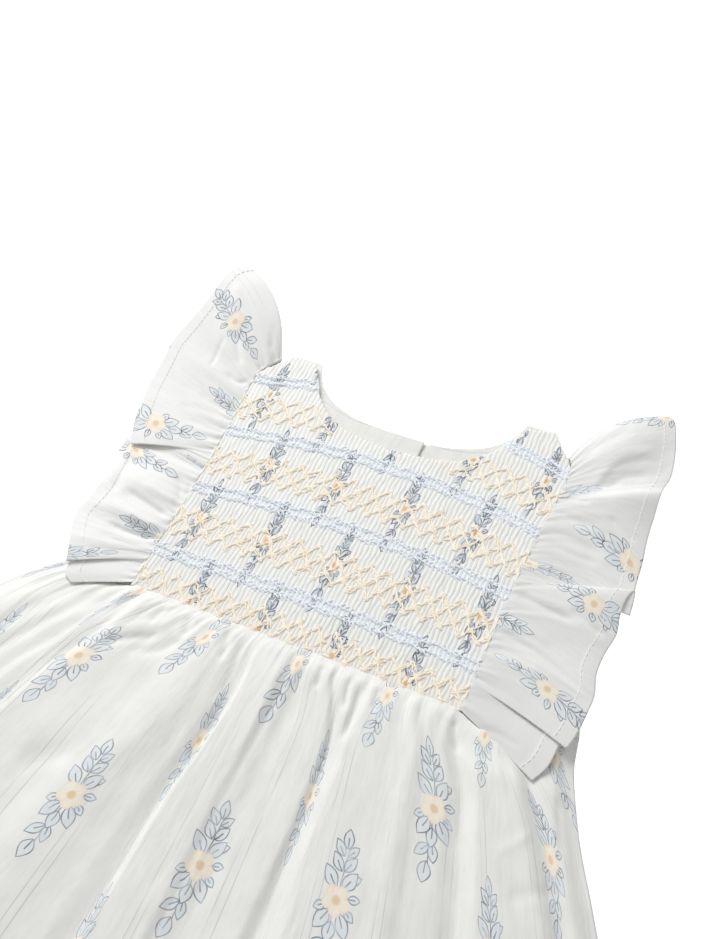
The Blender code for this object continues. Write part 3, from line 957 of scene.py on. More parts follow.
@dataclass(frozen=True)
class Voile:
    """Soft off-white cotton voile, plain or printed."""

    name: str
    colour: Shape
    shade: Shape
    sprigs: SprigPrint | None = None
    # rows: bands of painted shade, read from the cloth's "row" attribute.
    rows: tuple[RowTint, ...] = ()
    row_raggedness: float = 0.5
    row_scale: float = 1.6
    cloud_scale: float = 0.6
    cloud: Shape = (0.35, 0.65)
    crumple: float = 0.0011
    crumple_scale: float = 0.9
    crumple_stretch: Shape = (1.0, 0.3, 1.0)
    slub_bump: float = 0.12
    slub_height: float = 0.0002
    slub_stretches: tuple[Shape, ...] = ((26.0, 1.6, 1.0), (1.6, 26.0, 1.0))
    roughness: float = 0.88
    shine: float = 0.25
    sheen: float = 0.12
    sheen_roughness: float = 0.45

    def material(self) -> Material:
        """Build the cloth's material.

        Returns:
            The material, read from the piece's weave map.
        """
        made, graph = new_material(self.name)
        place = graph.node("ShaderNodeUVMap", {"uv_map": "weave"}).outputs[0]
        spot = graph.stretched(place, (1.0 / CM,) * 3)
        cloud = graph.ramp(graph.noise(spot, self.cloud_scale, 3.0), *self.cloud)
        cloth = graph.mix(cloud, self.colour, self.shade)
        if self.rows:
            cloth = self.tinted(graph, spot, cloth)
        if self.sprigs:
            cloth = self.sprigs.colour(graph, spot, cloth)
        folds = graph.noise(graph.stretched(spot, self.crumple_stretch), self.crumple_scale, 3.0)
        crumpled = graph.relief(folds, 1.0, self.crumple)
        threads = [
            graph.noise(graph.stretched(spot, stretch), 1.0, 2.0) for stretch in self.slub_stretches
        ]
        slubs = graph.relief(threads[0] + threads[1], self.slub_bump, self.slub_height, crumpled)
        graph.surface({
            "Base Color": cloth,
            "Roughness": self.roughness,
            "Sheen Weight": self.sheen,
            "Sheen Roughness": self.sheen_roughness,
            "Specular IOR Level": self.shine,
            "Normal": slubs,
        })
        return made

    def tinted(self, graph: Graph, spot: Socket, cloth: object) -> Socket:
        """The cloth with painted shade in rows: thread-coloured under the smocking's stitch rows,
        grey near a sleeve's gathered seam.

        Args:
            graph: The material's nodes.
            spot: The place on the weave, in centimetres.
            cloth: The cloth's colour before.

        Returns:
            The colour with its painted shade.
        """
        kept = graph.node("ShaderNodeAttribute", {"attribute_name": "row"})
        height = Number(graph, kept.outputs["Fac"])
        ragged = (graph.noise(spot, self.row_scale, 3.0) - 0.5) * self.row_raggedness
        for row in self.rows:
            past = abs(height - row.y) + ragged
            part = graph.ramp(past, row.reach + row.soft, row.reach - row.soft) * row.part
            cloth = graph.mix(part, cloth, row.colour)
        return cloth


@dataclass(frozen=True)
class Thread:
    """Soft cotton embroidery or sewing thread."""

    name: str
    colour: Shape
    shade: Shape
    fleck_scale: float = 260.0
    fleck: Shape = (0.38, 0.62)
    ply_scale: float = 1600.0
    ply_bump: float = 0.4
    ply_height: float = 0.0002
    roughness: float = 0.85
    sheen: float = 0.2
    # Painted light: the thread glows by this share, lifting its shaded side, and its base colour is
    # darkened by the same share.
    glow: float = 0.36

    def material(self) -> Material:
        """Build the thread's material.

        Returns:
            The material, read from object coordinates.
        """
        made, graph = new_material(self.name)
        place = graph.node("ShaderNodeTexCoord").outputs["Object"]
        fleck = graph.ramp(graph.noise(place, self.fleck_scale, 2.0), *self.fleck)
        colour = graph.mix(fleck, self.colour, self.shade)
        ply = graph.noise(place, self.ply_scale, 1.0)
        # Painted light: part of the thread's colour is emitted instead of reflected.
        graph.surface({
            "Base Color": graph.mix(self.glow, colour, paint(0, 0, 0)),
            "Emission Color": colour,
            "Emission Strength": self.glow,
            "Roughness": self.roughness,
            "Sheen Weight": self.sheen,
            "Normal": graph.relief(ply, self.ply_bump, self.ply_height),
        })
        return made


class Finishes:
    """Every finish of the dress, made once."""

    def __init__(self) -> None:
        """Build the materials."""
        loose = SprigPrint()
        crisp = SprigPrint(
            line_blur=0.028, leaf_line=paint(90, 98, 112), stripe_tint=paint(226, 227, 227)
        )
        pleated = SprigPrint(
            line=0.05, petal_radius=0.36, centre=0.22,
            leaf_fill=paint(210, 217, 225), leaf_line=paint(74, 82, 98),
            flower=paint(246, 236, 220), flower_centre=paint(225, 187, 146),
        )
        self.printed = Voile(
            "printed_voile", paint(239, 239, 236), paint(234, 234, 231), loose
        ).material()
        # Painted light and shade: the sleeves are two copies of one voile, a painted lighter than
        # the printed voile, b painted darker near its gathered seam.
        self.sleeves = {
            Side.A: Voile(
                "sleeve_voile_a", paint(242, 242, 240), paint(239, 239, 237), crisp
            ).material(),
            Side.B: Voile(
                "sleeve_voile_b", paint(239, 239, 237), paint(234, 234, 232), crisp, (GATHER_PAINTED_SHADE,)
            ).material(),
        }
        # Painted shade: the plain voile is painted greyer than the printed voile, standing in for
        # shade on the inside of the back seen at the neck.
        self.plain = Voile("plain_voile", paint(233, 233, 230), paint(228, 228, 225)).material()
        self.smocked = Voile(
            "smocked_voile", paint(239, 239, 236), paint(235, 235, 232), pleated, SMOCK_PAINTED_THREAD_SHADE,
            crumple=0.0,
        ).material()
        self.blue = Thread("blue_thread", paint(243, 247, 250), paint(233, 239, 245)).material()
        self.peach = Thread("peach_thread", paint(254, 247, 233), paint(247, 235, 214)).material()
        self.white = Thread("white_thread", paint(246, 246, 244), paint(234, 234, 232)).material()


# Stitches ----


@dataclass(frozen=True)
class Stitches:
    """Raises every edge of a guide into a stitch that is puffed up over the cloth."""

    radius: float
    lift: float
    points: int = 5
    sides: int = 6
    end_radius: float = 0.6

    def tree(self, name: str) -> bpy.types.NodeTree:
        """Build the node tree.

        Args:
            name: The tree's name.

        Returns:
            The tree, with the thread's sizes as named inputs in metres.
        """
        graph, given = new_tree(name, {
            "Thread radius": "Float", "Lift": "Float", "Points": "Int", "Sides": "Int",
            "Material": "Material",
        })
        lines = graph.node("GeometryNodeMeshToCurve", None, {0: given["Geometry"]})
        values = {"Curve": lines.outputs[0], "Count": given["Points"]}
        cut = graph.node("GeometryNodeResampleCurve", None, values)
        share = Number(graph, graph.node("GeometryNodeSplineParameter").outputs["Factor"])
        arch = share * (1.0 - share) * 4.0
        rise = graph.vector(0.0, 0.0, arch * Number(graph, given["Lift"]))
        values = {"Geometry": cut.outputs[0], "Offset": rise}
        raised = graph.node("GeometryNodeSetPosition", None, values)
        values = {"Resolution": given["Sides"], "Radius": given["Thread radius"]}
        ring = graph.node("GeometryNodeCurvePrimitiveCircle", None, values)
        width = arch**0.5 * (1.0 - self.end_radius) + self.end_radius
        tube = graph.node("GeometryNodeCurveToMesh", None, {
            "Curve": raised.outputs[0], "Profile Curve": ring.outputs[0], "Scale": width,
            "Fill Caps": True,
        })
        smooth = graph.node("GeometryNodeSetShadeSmooth", None, {"Geometry": tube.outputs[0]})
        graph.end_in_mesh(smooth.outputs[0], given["Material"])
        return graph.tree

    def sew(self, name: str, lines: Array, material: Material) -> Mesh:
        """Sew stitches along lines.

        Args:
            name: The stitches' name.
            lines: Each stitch's two ends, in pattern centimetres.
            material: The thread.

        Returns:
            All the stitches as one plain mesh.
        """
        guide = bpy.data.meshes.new(name + "_guide")
        ends = in_frame(np.asarray(lines).reshape(-1, 3))
        guide.from_pydata(ends.tolist(), [(2 * i, 2 * i + 1) for i in range(len(lines))], [])
        values = {
            "Thread radius": self.radius * CM,
            "Lift": self.lift * CM,
            "Points": self.points,
            "Sides": self.sides,
            "Material": material,
        }
        return grown(guide, self.tree(name + "_tree"), values)


def run_of_stitches(line: Array, length: float, gap: float, lift: float) -> Array:
    """A running stitch along a line of points.

    Args:
        line: The points.
        length: A stitch's length.
        gap: The space after it.
        lift: How far the stitches stand above the line.

    Returns:
        The stitches' ends.
    """
    far = lengths_along(line)
    starts = np.arange(gap, far[-1] - length, length + gap)
    ends = np.stack((starts, starts + length), -1)
    found = np.stack([np.interp(ends, far, line[:, i]) for i in range(3)], -1)
    found[..., 2] += lift
    return found


# Smocked front ----


@dataclass
class SmockedFront:
    """The pleated front panel and the embroidery that holds its pleats."""

    pleats: int = 76
    steps: int = 8
    rows: int = 116
    inside_z: float = 0.30
    valley_z: float = 0.44
    pleat_height: float = 0.038
    pleat_roundness: float = 0.8
    stitch_dip: float = 0.010
    dip_reach: float = 0.16
    row_sag: float = 0.083
    diamond: float = 1.13
    diamond_pull: float = 0.07
    pull_reach: float = 0.42
    free_reach: float = 0.38
    waver: float = 0.04
    waver_pitch: Shape = (1.1, 2.0)
    valley_waver: float = 0.4
    ridge_power: float = 0.7
    swell: float = 0.16
    swell_pitch: float = 0.6
    top_flattens: float = 0.4
    foot_flattens: float = 0.7
    top_scallop: float = 0.07
    top_ragged: Shape = (-0.04, 0.05)
    waist_half_width: float = 10.0
    fabric_per_pleat: float = 0.567
    shown_per_pleat: float = 0.38
    flower_x: float = 2.42
    flower_y: float = 0.35
    unprinted_spot: Shape = (-2.0, 5.5)
    stitch_half_width: float = 10.2
    clear_of_waist: float = 0.06
    cable_limits: Shape = (0.998, 0.12)
    lattice_limits: Shape = (0.995, 0.7)
    cable_spread: float = 0.31
    cable_slant: float = 0.11
    cable_slopes: Shape = (0.2, 1.5)
    cable_reach: float = 1.1
    cable_scallop: float = 0.07
    cable_scallop_pitch: float = 1.15
    cable_ply: float = 0.05
    cable_shake: Shape = (0.25, 0.05)
    trellis: Shape = (1.08, 0.36, -0.46, -1.12)
    limbs: tuple[Shape, ...] = (
        (-0.08, 0.56, 0.05),
        (0.40, 1.06, 0.05),
        (-0.04, 0.50, -0.06),
        (0.46, 1.04, -0.06),
    )
    limb_shake: Shape = (0.0068, 0.075)
    limbs_missing: float = 0.13
    knot_reach: float = 0.17
    knot_lines: Shape = (-0.06, 0.06)
    knot_shake: float = 0.035

    def place(self, across: Array, height: Array) -> tuple[Array, Array, Array]:
        """Where a point of the panel lies.

        Args:
            across: Shares of the half-width.
            height: Heights above the waist.

        Returns:
            The point's x and y, and its row height, which the stitch rows sag with.
        """
        row = height / (1.0 - self.row_sag * across * across)
        x = across * PATTERN.pleated_half_width(height)
        shift = np.zeros(np.broadcast(x, row).shape)
        for middle, way in itertools.product(LATTICE_BANDS, (1.0, -1.0)):
            shift = shift + way * bump(row - middle + way * BAND_HALF, self.pull_reach)
        edge = smooth_step(1.0, 0.96, np.abs(across))
        x = x + edge * self.diamond_pull * np.sin(TURN * x / self.diamond) * shift
        return x, np.broadcast_to(height, x.shape), row

    def held(self, row: Array, reach: float) -> Array:
        """How firmly the stitch rows hold the pleats at a row height."""
        edges = [middle + side * BAND_HALF for middle in LATTICE_BANDS for side in (-1.0, 1.0)]
        return np.clip(sum(bump(row - y, reach) for y in sorted((*CABLE_ROWS, *edges))), 0.0, 1.0)

    def dip(self, row: Array) -> Array:
        """How far the stitches press the ridges down at a row height."""
        return self.stitch_dip * self.held(row, self.dip_reach)

    def build(self, finishes: Finishes) -> None:
        """Build the panel and its embroidery.

        Args:
            finishes: The dress's finishes.
        """
        piece = add_piece(
            "smocked_front", self.panel(finishes.smocked), finishes.smocked
        )
        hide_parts("front_smocked_panel")
        cable = Stitches(radius=0.058, lift=0.04)
        limb = Stitches(radius=0.048, lift=0.03)
        knot = Stitches(radius=0.055, lift=0.03, points=4)
        sewing = (
            ("blue_cables", cable, self.cables(), "blue_thread", finishes.blue),
            ("peach_lattice", limb, self.lattice(), "peach_thread", finishes.peach),
            ("peach_knots", knot, self.knots(), "peach_thread", finishes.peach),
        )
        for name, stitches, lines, slot, thread in sewing:
            add_piece(name, stitches.sew(name, lines, thread), thread)

    def panel(self, material: Material) -> Mesh:
        """The pleated panel: a flat sheet whose pleats a node tree raises.

        Args:
            material: The panel's finish.

        Returns:
            The panel's mesh.
        """
        across = np.linspace(-1.0, 1.0, self.pleats * self.steps + 1)[:, None]
        share = np.linspace(0.0, 1.0, self.rows)[None, :]
        x, y, row = self.place(across, blend(SEAM_GAP, PATTERN.front_top(across), share))
        chance = Draw.PLEATS.start()
        pleat = (across + 1.0) / 2.0 * self.pleats
        number = np.clip(np.round(pleat - 0.5).astype(int), 0, self.pleats - 1)
        phase = chance.uniform(0.0, TURN, (2, self.pleats))
        pitch = chance.uniform(*self.waver_pitch, self.pleats)
        at_sides = smooth_step(1.0, 0.97, np.abs(across))
        free = (1.0 - self.held(row, self.free_reach)) * at_sides
        turn = TURN * row / pitch[number] + phase[0][number]
        ridge = np.abs(np.sin(np.pi * pleat)) ** self.ridge_power
        bent = self.valley_waver + (1.0 - self.valley_waver) * ridge
        x = x + self.waver * free * np.sin(turn) * bent
        fullness = 1.0 + self.swell * free * np.sin(self.swell_pitch * turn + phase[1][number])
        at_top = self.top_flattens * smooth_step(0.975, 1.0, share)
        at_foot = self.foot_flattens * smooth_step(0.012, 0.0, share)
        height = (self.pleat_height * fullness - self.dip(row)) * (1.0 - at_top - at_foot)
        ragged = chance.uniform(*self.top_ragged, self.pleats)[number]
        y = y + (self.top_scallop * ridge + ragged) * smooth_step(0.96, 1.0, share)
        points = np.stack((x, y, np.full(x.shape, self.valley_z)), -1)
        mesh = self.flat_panel(points)
        for name, values in (("pleat", pleat), ("relief", height * CM), ("row", row)):
            keep_values(mesh, name, np.broadcast_to(values, x.shape))
        values = {"Roundness": self.pleat_roundness, "Material": material}
        raised = grown(mesh, self.pleat_tree(), values)
        raised.name = "smocked_front"
        for name in ("pleat", "relief"):
            raised.attributes.remove(raised.attributes[name])
        return raised

    def flat_panel(self, points: Array) -> Mesh:
        """The panel before its pleats are raised: one closed sheet.

        Args:
            points: Its face, columns by rows by 3.

        Returns:
            The closed mesh; its weave map skips the cloth hidden between the pleats.
        """
        columns, rows = points.shape[:2]
        grid = np.arange(columns * rows).reshape(columns, rows)
        quads = np.stack((grid[:-1, :-1], grid[1:, :-1], grid[1:, 1:], grid[:-1, 1:]), -1)
        rim = np.concatenate((grid[:, 0], grid[-1, 1:], grid[-2::-1, -1], grid[0, -2:0:-1]))
        under = points.reshape(-1, 3)[rim] * (1.0, 1.0, 0.0) + (0.0, 0.0, self.inside_z)
        below = columns * rows + np.arange(len(rim))
        walls = np.stack((rim, below, np.roll(below, -1), np.roll(rim, -1)), -1)
        faces = [*quads.reshape(-1, 4).tolist(), *walls.tolist(), below[::-1].tolist()]
        number, inside = np.divmod(np.arange(columns - 1), self.steps)
        flower = (self.flower_x / self.waist_half_width + 1.0) / 2.0 * self.pleats
        starts = (number + 0.5 - flower) * self.fabric_per_pleat - self.shown_per_pleat / 2.0
        left = starts + inside / self.steps * self.shown_per_pleat
        right = left + self.shown_per_pleat / self.steps
        low, high = (np.broadcast_to(u[:, None], (columns - 1, rows - 1)) for u in (left, right))
        height = points[..., 1] - self.flower_y
        u = np.stack((low, high, high, low), -1)
        v = np.stack((height[:-1, :-1], height[1:, :-1], height[1:, 1:], height[:-1, 1:]), -1)
        spots = np.stack((u, v), -1).reshape(-1, 2)
        rest = np.full((walls.size + len(rim), 2), self.unprinted_spot)
        everything = np.concatenate((points.reshape(-1, 3), under))
        return printed_mesh("smocked_front_flat", everything, faces, np.concatenate((spots, rest)))

    def pleat_tree(self) -> bpy.types.NodeTree:
        """Node tree that raises the pleats along their places.

        Returns:
            The tree, with the ridges' roundness as a named input.
        """
        graph, given = new_tree("raise_pleats", {"Roundness": "Float", "Material": "Material"})
        kept = [
            graph.node("GeometryNodeInputNamedAttribute", None, {"Name": name})
            for name in ("pleat", "relief")
        ]
        pleat, relief = (Number(graph, node.outputs[0]) for node in kept)
        ridge = abs(graph.maths("SINE", pleat * math.pi)) ** Number(graph, given["Roundness"])
        values = {"Geometry": given["Geometry"], "Offset": graph.vector(0.0, 0.0, ridge * relief)}
        raised = graph.node("GeometryNodeSetPosition", None, values)
        graph.end_in_mesh(raised.outputs[0], given["Material"])
        return graph.tree

    def sewn(self, across: Array, row: Array, limits: Shape) -> tuple[Array, Array]:
        """Stitches between pairs of places on the ridges.

        Args:
            across: Shares of the half-width, stitches by 2.
            row: Row heights, stitches by 2.
            limits: How far out they reach, and how far below the top edge they end.

        Returns:
            The stitches' ends in pattern centimetres, and True for each one on the panel.
        """
        out, clear = limits
        across = np.clip(across, -out, out)
        height = row * (1.0 - self.row_sag * across * across)
        x, y, _ = self.place(across, height)
        inside = (height < PATTERN.front_top(across) - clear) & (height > self.clear_of_waist)
        ridge_z = self.valley_z + self.pleat_height - self.dip(row)
        return np.stack((x, y, ridge_z), -1), inside.all(axis=1)

    def cables(self) -> Array:
        """Two loose scalloped ropes of blue stitches at each cable row.

        Returns:
            The stitches' ends.
        """
        found = []
        chance = Draw.CABLES.start()
        number = np.arange(self.pleats)
        ridge = (number + 0.5) / self.pleats * 2.0 - 1.0
        reach = self.cable_reach / self.pleats
        aside, up = self.cable_shake
        for middle, side in itertools.product(CABLE_ROWS, (-1.0, 1.0)):
            rope = middle + side * self.cable_spread
            scallop = np.sin(number * self.cable_scallop_pitch + 3.0 * chance.random())
            for way in (-1.0, 1.0):
                shake = chance.normal(0.0, aside / self.pleats, (self.pleats, 2))
                across = np.stack((ridge - reach, ridge + reach), -1) + shake
                slope = way * chance.uniform(*self.cable_slopes, (self.pleats, 1))
                slope = slope * np.array((-1.0, 1.0))
                row = rope + self.cable_scallop * scallop[:, None] + way * self.cable_ply
                row = row + self.cable_slant * slope + chance.normal(0.0, up, slope.shape)
                points, inside = self.sewn(across, row, self.cable_limits)
                found.append(points[inside])
        return np.concatenate(found)

    def lattice_nodes(self, level: int) -> Array:
        """Where a level of the lattice is sewn.

        Args:
            level: The level's number, from the band's top.

        Returns:
            Shares of the half-width.
        """
        half = self.diamond / 2.0
        count = int(self.stitch_half_width / half)
        places = np.arange(-count, count + 1)
        return places[places % 2 == level % 2] * half / self.stitch_half_width

    def lattice(self) -> Array:
        """Two zigzags of peach thread that meet and make a row of diamonds.

        Returns:
            The stitches' ends.
        """
        found = []
        chance = Draw.LATTICE.start()
        half = self.diamond / 2.0 / self.stitch_half_width
        aside_shake, up_shake = self.limb_shake
        for middle in LATTICE_BANDS:
            for level, (low, high) in enumerate(zip(self.trellis, self.trellis[1:])):
                nodes = self.lattice_nodes(level)
                for way, (start, end, aside) in itertools.product((-1.0, 1.0), self.limbs):
                    ends = np.array((start, end))
                    across = nodes[:, None] + way * half * ends
                    across += chance.normal(0.0, aside_shake, across.shape)
                    row = middle + aside + blend(low, high, ends)
                    row = row + chance.normal(0.0, up_shake, across.shape)
                    points, kept = self.sewn(across, row, self.lattice_limits)
                    found.append(points[kept & (chance.random(len(nodes)) > self.limbs_missing)])
        return np.concatenate(found)

    def knots(self) -> Array:
        """Short stitches that draw the pleats together at the lattice's corners.

        Returns:
            The stitches' ends.
        """
        found = []
        chance = Draw.KNOTS.start()
        reach = self.knot_reach / self.stitch_half_width
        for middle in LATTICE_BANDS:
            for level, height in enumerate(self.trellis):
                nodes = self.lattice_nodes(level)
                across = np.stack((nodes - reach, nodes + reach), -1)
                for line in self.knot_lines:
                    row = middle + height + line + chance.normal(0.0, self.knot_shake, across.shape)
                    points, kept = self.sewn(across, row, self.lattice_limits)
                    found.append(points[kept])
        return np.concatenate(found)


# Skirt ----


class FoldLine(NamedTuple):
    """A ridge or trough of the draped skirt: its x and its height at seven depths."""

    x: Shape
    z: Shape


FOLD_DEPTHS = (1.0, 2.5, 4.5, 7.0, 10.0, 14.0, 27.5)
FOLD_LINES = table_of(
    FoldLine,
    ((-14.6, -15.8, -17.4, -18.6, -20.1, -21.7, -25.8), (0.5, 0.5, 0.5, 0.46, 0.42, 0.4, 0.4)),
    ((-13.4, -14.4, -15.6, -17.0, -18.6, -20.2, -24.5), (0.68, 0.71, 0.71, 0.7, 0.69, 0.66, 0.6)),
    ((-12.7, -13.4, -14.7, -16.0, -17.5, -19.0, -23.2), (0.6, 0.63, 0.63, 0.62, 0.56, 0.5, 0.44)),
    ((-12.0, -12.6, -13.8, -15.2, -16.6, -18.0, -22.0), (0.71, 0.73, 0.73, 0.73, 0.73, 0.7, 0.63)),
    ((-11.4, -12.0, -13.2, -14.5, -15.8, -17.1, -21.0), (0.65, 0.65, 0.66, 0.66, 0.62, 0.56, 0.46)),
    ((-10.8, -11.3, -12.5, -13.9, -15.2, -16.5, -20.0), (0.76, 0.79, 0.78, 0.78, 0.78, 0.75, 0.68)),
    ((-10.3, -10.8, -11.8, -13.2, -14.4, -15.6, -19.0), (0.7, 0.73, 0.74, 0.73, 0.7, 0.63, 0.52)),
    ((-9.8, -10.3, -11.2, -12.5, -13.6, -14.8, -18.0), (0.78, 0.85, 0.86, 0.85, 0.86, 0.82, 0.73)),
    ((-9.2, -9.7, -10.4, -11.7, -12.7, -13.9, -17.0), (0.67, 0.73, 0.77, 0.79, 0.75, 0.68, 0.53)),
    ((-8.5, -8.9, -9.7, -10.9, -11.9, -13.1, -16.0), (0.84, 0.94, 0.97, 0.98, 0.97, 0.92, 0.8)),
    ((-6.7, -6.4, -6.2, -6.7, -7.7, -9.0, -11.4), (0.84, 0.88, 0.91, 0.93, 0.92, 0.84, 0.62)),
    ((-3.8, -3.9, -4.0, -4.3, -5.5, -6.9, -8.6), (0.92, 1.05, 1.18, 1.24, 1.18, 1.1, 0.9)),
    ((-2.6, -2.35, -2.3, -2.5, -2.95, -3.4, -4.5), (0.88, 0.93, 0.97, 0.94, 0.88, 0.82, 0.7)),
    ((-1.75, -1.42, -1.32, -1.55, -1.9, -2.1, -2.95), (0.78, 0.66, 0.6, 0.57, 0.57, 0.56, 0.5)),
    ((-1.3, -1.02, -1.04, -1.24, -1.57, -1.74, -2.5), (0.9, 0.97, 1.0, 1.03, 1.03, 1.0, 0.88)),
    ((0.1, 0.34, 0.4, 0.4, 0.4, 0.45, 0.0), (0.94, 1.06, 1.04, 1.0, 0.99, 0.97, 0.86)),
    ((0.85, 1.0, 1.05, 1.0, 0.95, 1.1, 0.8), (0.84, 0.78, 0.78, 0.82, 0.82, 0.76, 0.68)),
    ((1.3, 1.95, 1.9, 1.9, 1.8, 2.0, 1.6), (0.86, 0.66, 0.65, 0.69, 0.7, 0.6, 0.58)),
    ((2.3, 2.8, 2.8, 2.8, 2.7, 2.9, 3.0), (0.92, 0.76, 0.7, 0.7, 0.72, 0.68, 0.66)),
    ((2.9, 3.55, 4.1, 4.25, 4.4, 4.4, 4.8), (0.92, 0.86, 0.78, 0.75, 0.77, 0.77, 0.72)),
    ((3.15, 3.85, 4.45, 4.7, 4.85, 5.1, 5.6), (0.8, 0.68, 0.55, 0.5, 0.48, 0.48, 0.46)),
    ((3.7, 4.5, 5.45, 5.6, 5.85, 6.4, 7.2), (0.9, 0.94, 0.98, 1.0, 1.0, 0.98, 0.88)),
    ((6.9, 7.7, 8.2, 8.4, 8.8, 9.5, 11.0), (0.84, 0.95, 0.98, 1.0, 1.0, 0.95, 0.8)),
    ((7.6, 8.3, 8.75, 9.2, 9.7, 10.6, 12.2), (0.96, 1.06, 1.1, 1.1, 1.1, 1.04, 0.9)),
    ((8.3, 9.0, 9.6, 10.1, 10.7, 11.6, 13.2), (0.84, 0.9, 0.92, 0.9, 0.9, 0.84, 0.7)),
    ((8.9, 9.8, 10.6, 11.2, 12.0, 13.0, 15.0), (0.9, 0.9, 0.88, 0.86, 0.86, 0.8, 0.7)),
    ((10.0, 10.7, 11.6, 12.2, 13.1, 14.1, 16.4), (0.7, 0.66, 0.62, 0.6, 0.6, 0.58, 0.5)),
    ((10.8, 11.6, 12.4, 13.1, 14.1, 15.2, 17.8), (0.9, 0.98, 1.0, 1.0, 1.0, 0.98, 0.85)),
    ((12.2, 13.4, 14.4, 15.6, 17.0, 18.5, 21.0), (0.9, 1.0, 1.04, 1.05, 1.04, 0.98, 0.8)),
    ((13.0, 14.3, 15.5, 16.8, 18.1, 19.4, 22.3), (0.64, 0.56, 0.54, 0.52, 0.5, 0.48, 0.4)),
    ((14.2, 15.0, 16.2, 17.6, 18.9, 20.3, 23.8), (0.72, 0.68, 0.68, 0.68, 0.68, 0.65, 0.6)),
    ((15.9, 16.4, 17.2, 18.4, 19.9, 21.5, 25.8), (0.5, 0.45, 0.45, 0.4, 0.4, 0.4, 0.4)),
)

SKIRT_CREASES = table_of(
    Crease,
    (((-6.4, -1.7), (-7.0, -2.6), (-8.0, -3.1), (-9.3, -4.2)), -0.13, 0.35, 0.22),
    (((-6.9, -1.3), (-7.6, -2.1), (-8.6, -2.7), (-9.8, -3.6)), 0.05, 0.35, 0.3),
    (((-5.4, -1.9), (-6.1, -3.1), (-7.9, -3.9)), -0.14, 0.35, 0.5),
    (((-6.6, -4.6), (-7.8, -5.6), (-9.6, -7.6), (-10.8, -9.0)), -0.05, 0.9, 1.1),
    (((-6.9, -9.8), (-8.3, -10.6), (-9.7, -11.9)), -0.12, 0.6, 0.8),
    (((-8.2, -0.6), (-8.9, -1.7), (-9.5, -3.1)), 0.1, 0.25, 0.3),
    (((-7.1, -0.5), (-7.4, -1.2), (-7.5, -2.0)), -0.14, 0.18, 0.25),
    (((-6.4, -0.5), (-6.6, -1.2), (-6.9, -2.0)), 0.1, 0.2, 0.2),
    (((-5.7, -0.5), (-5.5, -1.2), (-5.3, -2.0)), -0.16, 0.2, 0.25),
    (((-2.7, -0.4), (-2.2, -1.4), (-2.0, -2.6), (-2.05, -5.0)), -0.12, 0.25, 0.3),
    (((-3.4, -0.4), (-3.0, -1.4), (-2.8, -2.6)), -0.12, 0.2, 0.25),
    (((2.3, -0.4), (2.5, -1.2), (2.6, -2.0)), -0.14, 0.15, 0.2),
    (((4.6, -0.5), (4.85, -1.6), (5.0, -2.8), (5.0, -4.4)), -0.22, 0.22, 0.25),
    (((3.9, -0.5), (4.2, -1.4), (4.5, -2.6)), -0.14, 0.15, 0.2),
    (((5.6, -0.4), (5.75, -1.2), (5.9, -2.0)), -0.14, 0.2, 0.2),
    (((9.8, -0.5), (10.3, -1.5), (10.7, -2.4)), -0.14, 0.2, 0.25),
    (((15.8, -2.2), (16.4, -4.0), (17.0, -5.6)), -0.1, 0.2, 0.2),
    (((13.8, -6.6), (14.8, -5.4), (15.3, -4.6)), 0.05, 0.15, 0.2),
    (((14.8, -8.4), (16.2, -7.4), (17.2, -6.9)), -0.06, 0.3, 0.3),
)


class PrintColumn(NamedTuple):
    """A printed column: its places as shares of half-width, how wide it shows, its lifts."""

    number: float
    waist: float
    draped: float
    shows: float
    rise: float
    lift: float
    right_shows: float = -1.0


PRINT_COLUMNS = table_of(
    PrintColumn,
    (-8.0, -1.26, -1.22, 0.5, 0.0, 0.0), (-6.0, -0.97, -0.96, 0.6, 2.4, 2.4),
    (-5.0, -0.85, -0.79, 0.9, 0.0, -0.5, 0.1), (-4.0, -0.632, -0.622, 0.3, 0.9, 0.9),
    (-3.0, -0.49, -0.541, 1.0, 0.0, 1.2), (-2.0, -0.262, -0.28, 1.0, -0.5, 0.05),
    (-1.0, -0.1, -0.074, 0.7, 0.0, -0.3, 0.12), (0.0, 0.065, 0.064, 0.95, 0.05, -0.3),
    (1.0, 0.225, 0.25, 0.35, 0.0, -0.7), (2.0, 0.383, 0.382, 0.95, 0.2, 0.6),
    (3.0, 0.53, 0.587, 0.95, 1.1, 0.85), (4.0, 0.715, 0.735, 0.6, 0.1, 0.9),
    (5.0, 0.81, 0.907, 0.5, 0.0, 0.5), (6.0, 0.93, 1.03, 0.5, 0.0, 0.0),
    (8.0, 1.2, 1.26, 0.5, 0.0, 0.0),
)


